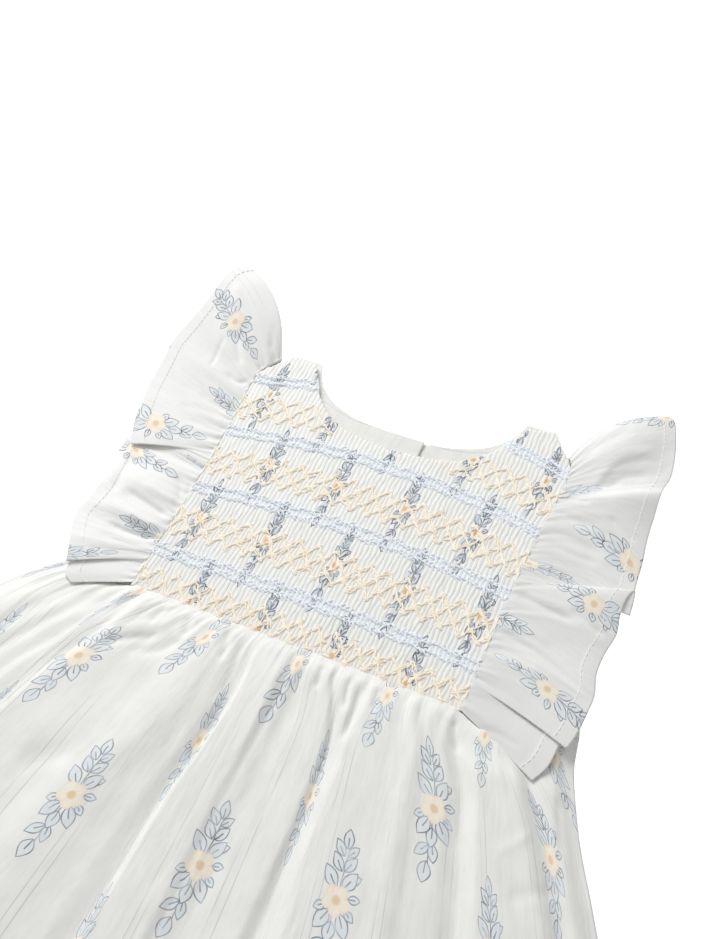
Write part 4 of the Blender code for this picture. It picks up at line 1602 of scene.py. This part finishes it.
@dataclass
class Skirt:
    """The gathered skirt: a draped front over a flat back."""

    columns: int = 400
    rows: int = 118
    back_columns: int = 120
    back_rows: int = 60
    even_rows: float = 0.35
    row_power: float = 1.5
    back_z: float = 0.04
    back_thickness: float = 0.08
    back_print: Shape = (0.0, 4.0)
    seam_height: float = 0.24
    seam_ends: Shape = (9.8, 11.0)
    side_starts: float = 0.93
    sleeve_x: Shape = (9.6, 10.8)
    sleeve_depth: Shape = (1.6, 3.2)
    sleeve_press: float = 0.32
    leave_reach: float = 0.5
    gathers: int = 34
    gather_height: float = 0.04
    gather_reach: float = 1.5
    small_count: int = 110
    small_ends: float = 0.97
    small: Gathers = Gathers(0.006, (-0.13, 0.09), (0.6, 2.6), (0.006, 0.013), 0.25)
    small_starts: float = 0.35
    hem_depth: float = 1.6
    hem_edge: float = 0.05
    hem_extra: float = 1.2
    tuck: float = 0.18
    tuck_depth: float = 0.15
    tuck_ends: Shape = (9.95, 9.7)
    flower_depth: float = 1.0
    sprig_reach: float = 1.15
    gathered_shows: float = 0.44
    drape_depth: Shape = (0.5, 5.5)
    open_depth: Shape = (0.8, 4.2)
    lift_depth: Shape = (1.5, 5.0)

    def drape(self, x: Array, depth: Array) -> Array:
        """Height of the draped cloth between its ridges and troughs.

        Args:
            x: Places across.
            depth: Depths below the waist.

        Returns:
            The heights above the surface.
        """
        places = np.stack([curve_at(FOLD_DEPTHS, line.x, depth) for line in FOLD_LINES])
        heights = np.stack([curve_at(FOLD_DEPTHS, line.z, depth) for line in FOLD_LINES])
        x_low, x_high = either_side(places, places, x)
        z_low, z_high = either_side(heights, places, x)
        return blend(z_low, z_high, smooth_step(0.0, 1.0, (x - x_low) / (x_high - x_low)))

    def front_height(self, across: Array, depth: Array) -> Array:
        """Height of the front skirt's middle above the surface.

        Args:
            across: Shares of the half-width.
            depth: Depths below the waist.

        Returns:
            The heights.
        """
        x, y = PATTERN.skirt_place(across, depth)
        base = LAYER_STEP + WALL / 2.0
        to_side = 1.0 - smooth_step(self.side_starts, 1.0, np.abs(across))
        shallow = 1.0 - smooth_step(*self.sleeve_depth, depth)
        under_sleeve = smooth_step(*self.sleeve_x, np.abs(x)) * shallow
        seam = self.seam_height * (1.0 - smooth_step(*self.seam_ends, np.abs(x)))
        leave = 1.0 - np.exp(-depth / self.leave_reach)
        waves = TURN * (self.gathers * (across + 1.0) / 2.0)
        gather = self.gather_height * np.cos(waves) * np.exp(-depth / self.gather_reach)
        places = np.linspace(-self.small_ends, self.small_ends, self.small_count)
        small = self.small.relief(Draw.WAIST_GATHERS.start(), places, across, depth)
        creases = sum(crease.relief(x, y) for crease in SKIRT_CREASES)
        fine = small * smooth_step(0.0, self.small_starts, depth) + creases
        draped = blend(seam, self.drape(x, depth) - base + gather + fine, leave)
        pressed = draped * (1.0 - self.sleeve_press * under_sleeve) * to_side
        return base + np.maximum(pressed, 0.0)

    def weave(self, across: Array, depth: Array) -> Array:
        """Places of the print on the skirt.

        Args:
            across: Shares of the half-width.
            depth: Depths below the waist.

        Returns:
            The places in centimetres, from a flower's centre.
        """
        x, _ = PATTERN.skirt_place(across, depth)
        half = np.abs(x) / np.maximum(np.abs(across), 1e-6)
        draped = smooth_step(*self.drape_depth, depth)
        opened = smooth_step(*self.open_depth, depth)
        lifted = smooth_step(*self.lift_depth, depth)
        edges, cloth, lifts = [], [], []
        for row in PRINT_COLUMNS:
            middle = blend(row.waist, row.draped, draped) * half
            for side in (-1.0, 1.0):
                shows = row.right_shows if side > 0.0 and row.right_shows > 0.0 else row.shows
                reach = self.sprig_reach * blend(min(self.gathered_shows, shows), shows, opened)
                edges.append(middle + side * reach)
                across_cloth = row.number * SprigPrint.column + side * self.sprig_reach
                cloth.append(np.full(x.shape, across_cloth))
                lifts.append(blend(row.rise, row.lift, lifted))
        places = np.stack(edges)
        low, high = either_side(places, places, x)
        part = np.clip((x - low) / np.maximum(high - low, 1e-3), 0.0, 1.0)
        u = blend(*either_side(np.stack(cloth), places, x), part)
        lift = blend(*either_side(np.stack(lifts), places, x), part)
        return np.stack((u, self.flower_depth - depth - lift), -1)

    def build(self, finishes: Finishes) -> None:
        """Build both layers of the skirt.

        Args:
            finishes: The dress's finishes.
        """
        across, depth = self.grid(self.columns, self.rows)
        x, y = PATTERN.skirt_place(across, depth)
        tucked = self.tuck * smooth_step(self.tuck_depth, 0.0, depth)
        tucked = tucked * smooth_step(*self.tuck_ends, np.abs(x))
        points = np.stack((x, y + tucked, self.front_height(across, depth)), -1)
        front = sheet_of(points, self.weave(across, depth), self.thickness(depth))
        piece = add_piece("skirt_front_cloth", front, finishes.printed)
        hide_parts("skirt_front")
        across, depth = self.grid(self.back_columns, self.back_rows)
        x, y = PATTERN.skirt_place(across, depth)
        points = np.stack((x, y, np.full(x.shape, self.back_z)), -1)
        back = sheet_of(points, self.weave(across, depth) + self.back_print, self.back_thickness)
        piece = add_piece("skirt_back_cloth", back, finishes.printed)
        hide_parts("skirt_back")

    def grid(self, columns: int, rows: int) -> Sequence[Array]:
        """A layer's shares of half-width and its depths, which are closer at the waist."""
        share = np.linspace(0.0, 1.0, rows)
        part = self.even_rows * share + (1.0 - self.even_rows) * share**self.row_power
        return np.meshgrid(np.linspace(-1.0, 1.0, columns), PATTERN.skirt_length * part)

    def thickness(self, depth: Array) -> Array:
        """The cloth's thickness: more than double where the hem is turned up."""
        hem = PATTERN.skirt_length - self.hem_depth
        return CLOTH * (1.0 + self.hem_extra * smooth_step(hem - self.hem_edge, hem, depth))


# Flutter sleeves ----


class Station(NamedTuple):
    """One station of a gathered strip, from its seam to its hem."""

    layer: Layer
    seam: float
    out: float
    y: float
    z: float
    mid: float
    bow: float = 0.0


def stations(front: Sequence[Shape], back: Sequence[Shape]) -> tuple[Station, ...]:
    """A strip's stations: up the front, over the shoulder and down the back."""
    rows = ((Layer.FRONT, front), (Layer.BACK, back))
    return tuple(Station(layer, *row) for layer, places in rows for row in places)


FLUTTER_A = stations(front=(
    (0.25, 13.2, -1.2, 0.52, 0.54), (0.55, 13.8, -0.8, 0.62, 0.64), (0.8, 14.0, -0.1, 0.66, 0.67),
    (1.1, 14.3, 0.7, 0.68, 0.67), (1.4, 14.5, 1.1, 0.74, 0.71), (1.7, 14.4, 0.5, 0.8, 0.76),
    (2.0, 14.1, -0.2, 0.86, 0.82), (2.35, 14.4, 0.5, 0.96, 0.9), (2.7, 14.9, 1.5, 0.98, 0.98),
    (3.5, 15.6, 3.1, 0.8, 0.86), (4.3, 15.4, 4.2, 0.86, 1.02), (5.3, 15.4, 5.3, 0.92, 0.88),
    (6.5, 15.6, 6.7, 0.8, 1.0), (7.8, 15.9, 8.2, 0.66, 0.8), (9.1, 16.0, 9.6, 0.64, 0.64),
    (9.8, 15.9, 10.5, 0.72, 0.7), (10.3, 15.8, 10.0, 0.8, 0.77), (10.9, 15.4, 9.1, 0.88, 0.84),
    (11.5, 15.8, 10.0, 0.98, 0.92), (12.5, 16.4, 11.7, 1.05, 0.95), (13.6, 16.9, 14.0, 1.15, 0.98),
    (14.7, 17.1, 16.0, 1.35, 1.1), (15.8, 17.3, 18.1, 1.6, 1.2), (16.9, 17.1, 20.0, 1.8, 1.2),
    (17.9, 16.9, 22.0, 2.0, 1.4), (18.7, 16.8, 24.0, 2.3, 1.6, 0.2),
    (19.5, 16.5, 25.6, 2.55, 2.0, 0.6), (20.2, 15.5, 26.3, 2.5, 2.0, 0.9),
), back=(
    (19.9, 15.3, 25.2, 1.7, 1.1, 0.7), (19.2, 15.7, 23.4, 0.6, 0.3, 0.3),
    (18.2, 16.0, 21.2, 0.05, 0.05), (16.4, 16.2, 18.2, 0.05, 0.05), (13.8, 16.1, 15.0, 0.05, 0.05),
    (11.2, 15.9, 12.0, 0.05, 0.05), (9.0, 15.4, 9.6, 0.05, 0.05), (7.8, 15.0, 8.2, 0.05, 0.05),
))
FLUTTER_B = stations(front=(
    (0.1, 14.5, -2.2, 0.6, 0.6), (0.4, 15.0, -1.3, 0.72, 0.72), (0.7, 15.2, -0.2, 0.74, 0.72),
    (1.05, 15.3, 1.0, 0.7, 0.67), (1.35, 15.5, 1.5, 0.75, 0.72), (1.65, 15.5, 0.8, 0.82, 0.78),
    (1.95, 15.6, 0.0, 0.88, 0.84), (2.35, 15.9, 0.9, 0.95, 0.92), (2.8, 16.1, 2.3, 0.92, 1.0),
    (3.7, 16.2, 3.5, 0.72, 1.14), (4.6, 16.0, 4.8, 0.66, 0.92), (5.5, 16.1, 6.1, 0.68, 0.84),
    (6.5, 16.4, 7.5, 0.8, 0.98), (7.4, 16.3, 8.7, 0.95, 1.08), (8.2, 16.4, 9.9, 1.12, 1.14),
    (8.7, 16.7, 10.5, 1.1, 1.0), (9.0, 16.8, 9.7, 0.96, 0.88), (9.3, 16.8, 9.0, 0.82, 0.78),
    (9.7, 16.8, 9.9, 0.66, 0.66), (10.4, 16.7, 11.4, 0.54, 0.74), (11.6, 16.7, 13.0, 0.54, 0.84),
    (12.9, 16.6, 14.7, 0.6, 0.96), (14.1, 16.6, 16.3, 0.82, 1.12), (15.1, 16.6, 17.8, 1.2, 1.32),
    (15.7, 16.7, 18.7, 1.05, 0.98), (16.4, 16.9, 19.6, 1.1, 0.84), (17.3, 16.8, 21.2, 1.25, 1.15),
    (18.1, 16.5, 23.0, 1.3, 1.55, 0.2), (18.8, 16.1, 24.3, 1.3, 1.55, 0.5),
    (19.3, 15.5, 24.5, 1.05, 1.25, 0.7),
), back=(
    (18.9, 15.3, 23.4, 0.4, 0.6, 0.5), (18.2, 15.7, 21.6, 0.05, 0.08),
    (16.4, 16.1, 18.4, 0.05, 0.05), (13.8, 16.2, 15.0, 0.05, 0.05), (11.4, 16.2, 12.0, 0.05, 0.05),
    (9.4, 16.0, 9.8, 0.05, 0.05), (8.2, 15.6, 8.4, 0.05, 0.05),
))


class PrintStop(NamedTuple):
    """Print on a strip: its column, its flower's distance out and its lean at a station."""

    station: float
    number: float
    flower: float
    lean: float


FLUTTER_A_PRINT = table_of(
    PrintStop,
    (0.0, 6.7, 5.4, 0.0), (4.6, 6.45, 5.4, 0.0), (6.6, 6.0, 5.4, 0.0), (9.8, 5.0, 5.2, -0.2),
    (13.5, 4.0, 4.7, -0.3), (14.8, 3.0, 4.3, -0.2), (18.55, 2.0, 4.4, -0.2),
    (21.3, 1.0, 4.8, -0.1), (24.7, 0.0, 4.5, 0.0), (28.0, -1.0, 5.5, 0.0), (35.0, -4.6, 5.5, 0.0),
)
FLUTTER_B_PRINT = table_of(
    PrintStop,
    (0.0, 6.7, 3.8, 0.0), (5.6, 6.5, 3.8, 0.1), (8.2, 6.0, 3.9, 0.45), (10.2, 5.0, 4.3, 0.6),
    (13.3, 4.0, 4.8, 0.55), (17.25, 3.0, 5.6, 0.7), (19.85, 2.0, 5.8, 0.5), (24.3, 1.0, 4.9, 0.1),
    (28.3, 0.0, 7.5, 0.0), (31.0, -1.0, 6.0, 0.0), (36.0, -4.0, 5.5, 0.0),
)

FLUTTER_A_CREASES = table_of(
    Crease,
    (((-14.35, 20.0), (-14.1, 18.4), (-13.9, 16.8)), -0.06, 0.16, 0.12),
    (((-13.8, 20.8), (-12.9, 19.2), (-12.1, 18.2)), -0.1, 0.2, 0.25),
    (((-11.7, 22.6), (-11.2, 21.2), (-10.9, 20.2)), -0.1, 0.15, 0.2),
    (((-12.9, 17.3), (-11.9, 16.9), (-10.8, 17.6)), -0.1, 0.18, 0.22),
    (((-15.6, 24.6), (-14.6, 22.6), (-13.2, 21.0)), 0.08, 0.4, 0.5),
    (((-13.6, 14.9), (-12.4, 14.4), (-10.9, 14.3)), -0.05, 0.2, 0.3),
    (((-14.4, 13.2), (-12.6, 13.5), (-11.0, 13.4)), -0.05, 0.3, 0.3),
    (((-11.7, 8.3), (-10.8, 7.4), (-10.1, 5.9)), -0.1, 0.2, 0.3),
    (((-13.9, 5.8), (-12.0, 5.4), (-10.1, 5.1)), -0.16, 0.16, 0.35),
    (((-13.0, 6.6), (-11.6, 6.3), (-10.2, 6.2)), 0.06, 0.3, 0.3),
    (((-13.5, 3.2), (-12.0, 3.1), (-10.1, 3.5)), -0.16, 0.14, 0.3),
    (((-13.0, 4.2), (-11.6, 4.0), (-10.3, 4.2)), 0.06, 0.3, 0.3),
    (((-14.9, 8.6), (-14.6, 6.8), (-14.3, 5.0)), -0.1, 0.35, 0.3),
    (((-13.6, 2.3), (-12.2, 2.2), (-10.4, 2.6)), -0.05, 0.2, 0.2),
)
FLUTTER_B_CREASES = table_of(
    Crease,
    (((12.5, 16.2), (12.9, 18.2), (13.4, 19.4), (14.4, 20.3), (16.2, 21.1)), 0.13, 0.7, 0.3),
    (((11.6, 18.9), (12.3, 20.4), (13.4, 21.9)), -0.05, 0.3, 0.4),
    (((13.4, 17.2), (14.2, 18.6), (15.8, 19.4)), -0.08, 0.3, 0.3),
    (((10.3, 8.2), (12.0, 7.7), (14.4, 7.2)), -0.16, 0.22, 0.3),
    (((13.6, 8.2), (14.8, 7.5), (16.0, 7.1)), -0.1, 0.2, 0.3),
    (((10.1, 5.5), (12.9, 4.6), (15.8, 3.3)), -0.14, 0.2, 0.3),
    (((10.2, 6.3), (11.5, 6.0), (13.4, 5.3)), 0.08, 0.3, 0.3),
    (((10.2, 4.5), (12.2, 3.9), (13.0, 3.4)), -0.08, 0.2, 0.2),
    (((10.3, 13.3), (12.5, 12.9), (14.7, 12.2)), -0.08, 0.25, 0.35),
    (((10.8, 14.7), (12.6, 14.2), (14.0, 14.1)), -0.07, 0.2, 0.25),
    (((11.2, 12.2), (13.0, 11.8), (14.6, 11.8)), -0.06, 0.2, 0.2),
    (((14.0, 15.2), (15.2, 14.6), (16.2, 14.2)), -0.06, 0.2, 0.25),
    (((11.2, 16.0), (12.0, 15.8), (12.9, 15.7)), -0.1, 0.14, 0.2),
    (((11.0, -0.6), (12.2, -0.5), (13.6, -0.9)), -0.05, 0.2, 0.2),
)


@dataclass
class Flutter:
    """A gathered strip from the front waist, over the shoulder, to the underarm."""

    side: Side
    stations: tuple[Station, ...]
    print_stops: tuple[PrintStop, ...]
    creases: tuple[Crease, ...]
    steps: int = 10
    across_steps: int = 64
    seam_tuck: float = 0.07
    front_seam_z: float = 0.462
    back_seam_z: float = 0.05
    back_gap: float = 0.05
    shoulder_ease: float = 0.25
    ease_starts: float = 16.0
    shoulder_slope: float = 0.56
    shoulder_starts: float = 18.6
    gather_pitch: float = 0.38
    gathers: Gathers = Gathers(0.08, (-0.10, 0.10), (0.8, 3.4), (0.10, 0.22), 0.3)
    tuck_pitch: float = 0.25
    tucks: Gathers = Gathers(0.05, (-0.12, 0.072), (0.25, 0.8), (0.11, 0.11), 0.4)
    gathers_start: float = 0.15
    seam_waver: float = 0.06
    waver_reach: float = 0.6
    creases_start: float = 0.8
    creases_end: Shape = (2.5, 1.0)
    shade_rises: float = 15.0
    shade_part: float = 0.5
    hem_width: float = 0.85
    hem_edge: float = 0.08
    hem_extra: float = 0.9
    area_share: float = 0.8
    stitch_radius: float = 0.018
    stitch_lift: float = 0.012
    stitch_length: float = 0.24
    stitch_gap: float = 0.11

    def seam_x(self, layer: Layer, y: float) -> float:
        """How far out a station of the strip is sewn.

        Args:
            layer: Which layer of the bodice it is sewn to.
            y: The seam's height there.

        Returns:
            The distance from the middle.
        """
        if layer is Layer.BACK:
            ease = self.shoulder_ease * smooth_step(self.ease_starts, self.shoulder_starts, y)
            return float(PATTERN.armhole(self.side, layer, y) + self.back_gap + ease)
        beside = float(PATTERN.pleated_half_width(y)) - self.seam_tuck
        return min(beside, beside + self.shoulder_slope * (self.shoulder_starts - y))

    def series(self) -> Array:
        """Numbers of every station, a column each.

        Returns:
            The seam end, the hem end, the mid height and the bow.
        """
        rows = []
        for row in self.stations:
            seam_z = self.back_seam_z if row.layer is Layer.BACK else self.front_seam_z
            seam = (self.seam_x(row.layer, row.seam), row.seam, seam_z)
            rows.append((*seam, row.out, row.y, row.z, row.mid, row.bow))
        return np.array(rows)

    def surface(self, at: Array, share: Array) -> Array:
        """Points of the strip.

        Args:
            at: Places along the stations, one for each row.
            share: Shares of the way from seam to hem, a number for each column.

        Returns:
            The points, rows by columns by 3.
        """
        table = self.series()
        places = np.arange(len(table))
        numbers = [curve_at(places, values, at)[:, None] for values in table.T]
        seam_x, seam_y, seam_z, hem_x, hem_y, hem_z, mid, bow = numbers
        dx = hem_x - seam_x
        dy = hem_y - seam_y
        length = np.hypot(dx, dy)
        t = share[None, :]
        hump = 4.0 * t * (1.0 - t)
        x = seam_x + dx * t - dy / length * bow * hump
        y = seam_y + dy * t + dx / length * bow * hump
        z = blend(seam_z, hem_z, t) + hump * (mid - (seam_z + hem_z) / 2.0)
        return np.stack((self.side.sign * x, y, z), -1)

    def gathered(self, along: Array, aside: Array) -> Array:
        """Small gathers and tucks that run out from the seam.

        Args:
            along: Distance along the seam, one for each row.
            aside: Distance from the seam, rows by columns.

        Returns:
            The heights that they add.
        """
        draw = Draw.SLEEVE_A_GATHERS if self.side is Side.A else Draw.SLEEVE_B_GATHERS
        chance = draw.start()
        total = np.zeros(aside.shape)
        for kind, pitch in ((self.gathers, self.gather_pitch), (self.tucks, self.tuck_pitch)):
            places = (np.arange(int(along[-1] / pitch)) + 0.5) * pitch
            total += kind.relief(chance, places, along[:, None], aside)
        return total * smooth_step(0.0, self.gathers_start, aside)

    def relief(self, at: Array, points: Array) -> Array:
        """Height that the listed creases add to the upper layer.

        Args:
            at: Places along the stations, one for each row.
            points: The strip's points, rows by columns by 3.

        Returns:
            The heights; none on the lower layer.
        """
        total = sum(crease.relief(points[..., 0], points[..., 1]) for crease in self.creases)
        fronts = sum(row.layer is Layer.FRONT for row in self.stations)
        start, end = (fronts - before for before in self.creases_end)
        return total * (1.0 - smooth_step(start, end, at))[:, None]

    def weave(self, at: Array, reach: Array) -> Array:
        """Places of the print on the strip.

        Args:
            at: Places along the stations, one for each row.
            reach: Distance from the seam along the cloth, rows by columns.

        Returns:
            The places in centimetres, from a flower's centre.
        """
        stops = column(self.print_stops, "station")
        number, flower, lean = (
            curve_at(stops, column(self.print_stops, name), at)[:, None]
            for name in ("number", "flower", "lean")
        )
        out = reach - flower
        return np.stack((number * SprigPrint.column - lean * out, out), -1)

    def shaped(self, at: Array) -> tuple[Array, Array]:
        """The strip with its gathers and creases.

        Args:
            at: Places along the stations, one for each row.

        Returns:
            Its points and their distances from the seam.
        """
        points = self.surface(at, np.linspace(0.0, 1.0, self.across_steps))
        along = lengths_along(points[:, 0])
        aside = np.linalg.norm(points - points[:, :1], axis=2)
        points = points + normals(points) * self.gathered(along, aside)[..., None]
        knots = np.arange(0.0, along[-1] + self.tuck_pitch, self.tuck_pitch)
        pulls = Draw.SLEEVE_SEAM.start().uniform(-1.0, 1.0, len(knots))
        waver = np.interp(along, knots, pulls)[:, None] * self.seam_waver
        points[..., 0] += self.side.sign * waver * smooth_step(self.waver_reach, 0.0, aside)
        points[..., 2] += self.relief(at, points) * smooth_step(0.0, self.creases_start, aside)
        return points, aside

    def build(self, finishes: Finishes) -> None:
        """Build the strip and its hem stitches.

        Args:
            finishes: The dress's finishes.
        """
        count = len(self.stations) - 1
        at = np.linspace(0.0, float(count), count * self.steps + 1)
        points, aside = self.shaped(at)
        width = np.linalg.norm(np.diff(points, axis=1), axis=2)
        reach = np.concatenate((np.zeros((len(at), 1)), np.cumsum(width, axis=1)), axis=1)
        from_hem = reach[:, -1:] - reach
        turned = smooth_step(self.hem_width + self.hem_edge, self.hem_width, from_hem)
        cloth = sheet_of(points, self.weave(at, reach), CLOTH * (1.0 + self.hem_extra * turned))
        name = "flutter_cloth_" + self.side.value
        piece = add_piece(name, cloth, finishes.sleeves[self.side])
        # Painted shade: each point's distance from the seam, growing faster above shade_rises, is
        # kept as "row"; sleeve b's voile paints grey where it is small.
        shade = aside + self.shade_part * np.maximum(points[..., 1] - self.shade_rises, 0.0)
        keep_values(piece.data, "row", np.stack((shade, shade)))
        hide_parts("flutter_" + self.side.value)
        hem = float(lengths_along(points[:, -1])[-1])
        area = float(np.median(reach[:, -1])) * hem * CM**2
        area = area * self.area_share
        line = self.hem_line(cloth.outer, reach)
        lines = run_of_stitches(line, self.stitch_length, self.stitch_gap, self.stitch_lift)
        sewing = Stitches(self.stitch_radius, self.stitch_lift, points=3, sides=5)
        name = "flutter_hem_stitches_" + self.side.value
        add_piece(name, sewing.sew(name, lines, finishes.white), finishes.white)

    def hem_line(self, face: Array, reach: Array) -> Array:
        """The line where the turned hem is sewn, on the cloth's upper face.

        Args:
            face: The face's points, rows by columns by 3.
            reach: Distance from the seam along the cloth, rows by columns.

        Returns:
            The line's points.
        """
        return np.array([
            [np.interp(far[-1] - self.hem_width, far, row[:, i]) for i in range(3)]
            for row, far in zip(face, reach)
        ])


# Plain panels ----


@dataclass
class SidePanel:
    """Plain front panel between the smocking and the side seam."""

    side: Side
    columns: int = 24
    rows: int = 60
    tip: float = 0.4
    z: float = 0.21
    wave: float = 0.02
    wave_turns: Shape = (3.0, 2.1)
    area_share: float = 0.66

    def build(self, finishes: Finishes) -> None:
        """Build the panel.

        Args:
            finishes: The dress's finishes.
        """
        top = PATTERN.side_panel_top - self.tip
        rows = np.linspace(0.0, top, self.rows)
        share, y = np.meshgrid(np.linspace(0.0, 1.0, self.columns), rows)
        inner = PATTERN.pleated_half_width(y) + SEAM_GAP
        outer = PATTERN.armhole(self.side, Layer.FRONT, y)
        x = self.side.sign * blend(inner, outer, share)
        lift = (PATTERN.waist_y(x) + SEAM_GAP) * (1.0 - y / top)
        turn = self.wave_turns[1] * y + self.wave_turns[0] * share
        wave = self.wave * np.sin(turn) * np.sin(np.pi * share)
        points = np.stack((x, y + lift, self.z + wave), -1)
        cloth = sheet_of(points, np.stack((x, y), -1), CLOTH)
        name = "side_panel_cloth_" + self.side.value
        piece = add_piece(name, cloth, finishes.plain)
        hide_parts("front_side_panel_" + self.side.value)


@dataclass
class BackHalf:
    """Half of the back bodice; the lapped half rises over the other at the placket."""

    name: str
    node: str
    side: Side
    edge: float
    top: float
    corner: float
    laps: bool
    columns: int = 70
    rows: int = 70
    rows_above: int = 50
    step_above: float = 0.01
    z: float = 0.07
    lap_part: float = 0.3
    lap_rise: float = 0.13
    lap_rises: Shape = (0.0, 0.75, 1.0)
    lap_foot: float = -3.6
    lap_closes: float = 0.002
    shoulder_top: float = 21.3
    band: float = 0.75
    band_edge: float = 0.07
    band_height: float = 0.03
    foot: float = 3.0
    crumple: float = 0.015
    crumple_starts: Shape = (0.2, 1.2)
    crumple_turns: tuple[Shape, Shape] = ((1.9, 0.6), (0.8, 1.1))
    area_share: float = 0.7

    def x_at(self, share: Array, y: Array) -> Array:
        """Where the half's columns lie.

        Args:
            share: Shares of the way from the placket to the armhole.
            y: Heights above the waist.

        Returns:
            The columns' x; the ones over the lap close up above the neck's low point.
        """
        neck = self.side.sign * np.maximum(self.corner, PATTERN.back_neck_x(y))
        edge = np.where(y <= self.top, self.edge, neck - self.side.sign * self.lap_closes)
        outer = self.side.sign * PATTERN.armhole(self.side, Layer.BACK, y)
        over_lap = blend(edge, neck, np.minimum(share / self.lap_part, 1.0))
        past_lap = np.maximum(share - self.lap_part, 0.0) / (1.0 - self.lap_part)
        return np.where(share < self.lap_part, over_lap, blend(neck, outer, past_lap))

    def height(self, x: Array, y: Array) -> Array:
        """Height of the half's middle: its lap, the band at the neck and small crumples.

        Args:
            x: Places across.
            y: Heights above the waist.

        Returns:
            The heights above the surface.
        """
        rise = np.zeros(x.shape)
        if self.laps:
            rise = np.interp(x, (self.lap_foot, -self.corner, self.edge), self.lap_rises)
        neck = np.maximum(self.corner, PATTERN.back_neck_x(np.maximum(y, self.top)))
        from_side = np.maximum(np.abs(x) - neck, 0.0)
        from_neck = np.hypot(from_side, np.maximum(self.top - y, 0.0))
        waves = [np.sin(across * x + along * y) for across, along in self.crumple_turns]
        crumple = self.crumple * np.abs(waves[0] * waves[1])
        crumple = crumple * (1.0 - rise) * smooth_step(*self.crumple_starts, from_neck)
        band = self.band_height * smooth_step(self.band + self.band_edge, self.band, from_neck)
        return self.z + self.lap_rise * rise + band + crumple

    def build(self, finishes: Finishes) -> None:
        """Build the half.

        Args:
            finishes: The dress's finishes.
        """
        start = self.top + self.step_above
        above = (self.shoulder_top - start) * np.linspace(0.0, 1.0, self.rows_above) ** 2
        rows = np.concatenate((np.linspace(0.0, self.top, self.rows), start + above))
        share, y = np.meshgrid(np.linspace(0.0, 1.0, self.columns), rows)
        x = self.x_at(share, y)
        lift = (PATTERN.waist_y(x) + SEAM_GAP) * (1.0 - smooth_step(0.0, self.foot, y))
        points = np.stack((x, y + lift, self.height(x, y)), -1)
        cloth = sheet_of(points, np.stack((x, y), -1), CLOTH)
        piece = add_piece(self.name, cloth, finishes.plain)
        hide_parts(self.node)


# Studio ----


@dataclass
class Studio:
    """Pale floor, soft light and the camera."""

    camera_at: Shape = (0.1392, -0.2305, 0.4789)
    camera_look: Shape = (-0.2521, 0.5913, -0.7660)
    lens: float = 37.65
    sensor: float = 36.0
    nearest_seen: float = 0.01
    floor_half: float = 3.0
    floor_z: float = -0.0004
    floor_colour: Shape = paint(205, 205, 205)
    floor_roughness: float = 0.9
    floor_glow: float = 0.8
    sky: float = 0.48
    lamp_at: Shape = (-1.0, 0.95, 1.1)
    lamp_size: float = 0.9
    lamp_watts: float = 25.0

    def build(self) -> None:
        """Set up the floor, the light and the camera."""
        self.floor()
        self.light()
        self.camera()

    def floor(self) -> None:
        """Lay the pale floor under the dress."""
        half = self.floor_half
        corners = [
            (x * half, y * half, self.floor_z) for x, y in ((-1, -1), (1, -1), (1, 1), (-1, 1))
        ]
        mesh = bpy.data.meshes.new("floor")
        mesh.from_pydata(corners, [], [(0, 1, 2, 3)])
        made, graph = new_material("floor")
        graph.surface({
            "Base Color": self.floor_colour,
            "Roughness": self.floor_roughness,
            "Emission Color": WHITE,
            "Emission Strength": self.floor_glow,
        })
        mesh.materials.append(made)
        floor = bpy.data.objects.new("floor", mesh)
        bpy.context.scene.collection.objects.link(floor)

    def light(self) -> None:
        """Light the dress with an even sky and one large lamp."""
        scene = bpy.context.scene
        world = bpy.data.worlds.new("studio")
        world.use_nodes = True
        sky = world.node_tree.nodes["Background"].inputs
        sky["Color"].default_value = WHITE
        sky["Strength"].default_value = self.sky
        scene.world = world
        light = bpy.data.lights.new("lamp", "AREA")
        light.size = self.lamp_size
        light.energy = self.lamp_watts
        lamp = bpy.data.objects.new("lamp", light)
        lamp.location = self.lamp_at
        lamp.rotation_euler = (-Vector(self.lamp_at)).to_track_quat("-Z", "Y").to_euler()
        scene.collection.objects.link(lamp)
        scene.view_settings.view_transform = "Standard"

    def camera(self) -> None:
        """Place the camera."""
        lens = bpy.data.cameras.new("camera")
        lens.lens = self.lens
        lens.sensor_width = self.sensor
        lens.clip_start = self.nearest_seen
        camera = bpy.data.objects.new("camera", lens)
        camera.location = self.camera_at
        camera.rotation_euler = Vector(self.camera_look).to_track_quat("-Z", "Y").to_euler()
        bpy.context.scene.collection.objects.link(camera)
        bpy.context.scene.camera = camera


def main() -> None:
    """Build the dress, piece by piece, then the studio."""
    logging.basicConfig(level=logging.INFO, format="%(message)s")
    finishes = Finishes()
    parts = (
        Skirt(),
        BackHalf("back_left", "back_bodice_over", Side.A, 1.7, 17.1, 1.35, True),
        BackHalf("back_right", "back_bodice_under", Side.B, -0.5, 17.02, 2.0, False),
        SidePanel(Side.A),
        SidePanel(Side.B),
        SmockedFront(),
        Flutter(Side.A, FLUTTER_A, FLUTTER_A_PRINT, FLUTTER_A_CREASES),
        Flutter(Side.B, FLUTTER_B, FLUTTER_B_PRINT, FLUTTER_B_CREASES),
    )
    for part in parts:
        part.build(finishes)
        log.info("built %s", type(part).__name__)
    Studio().build()


if __name__ == "__main__":
    main()
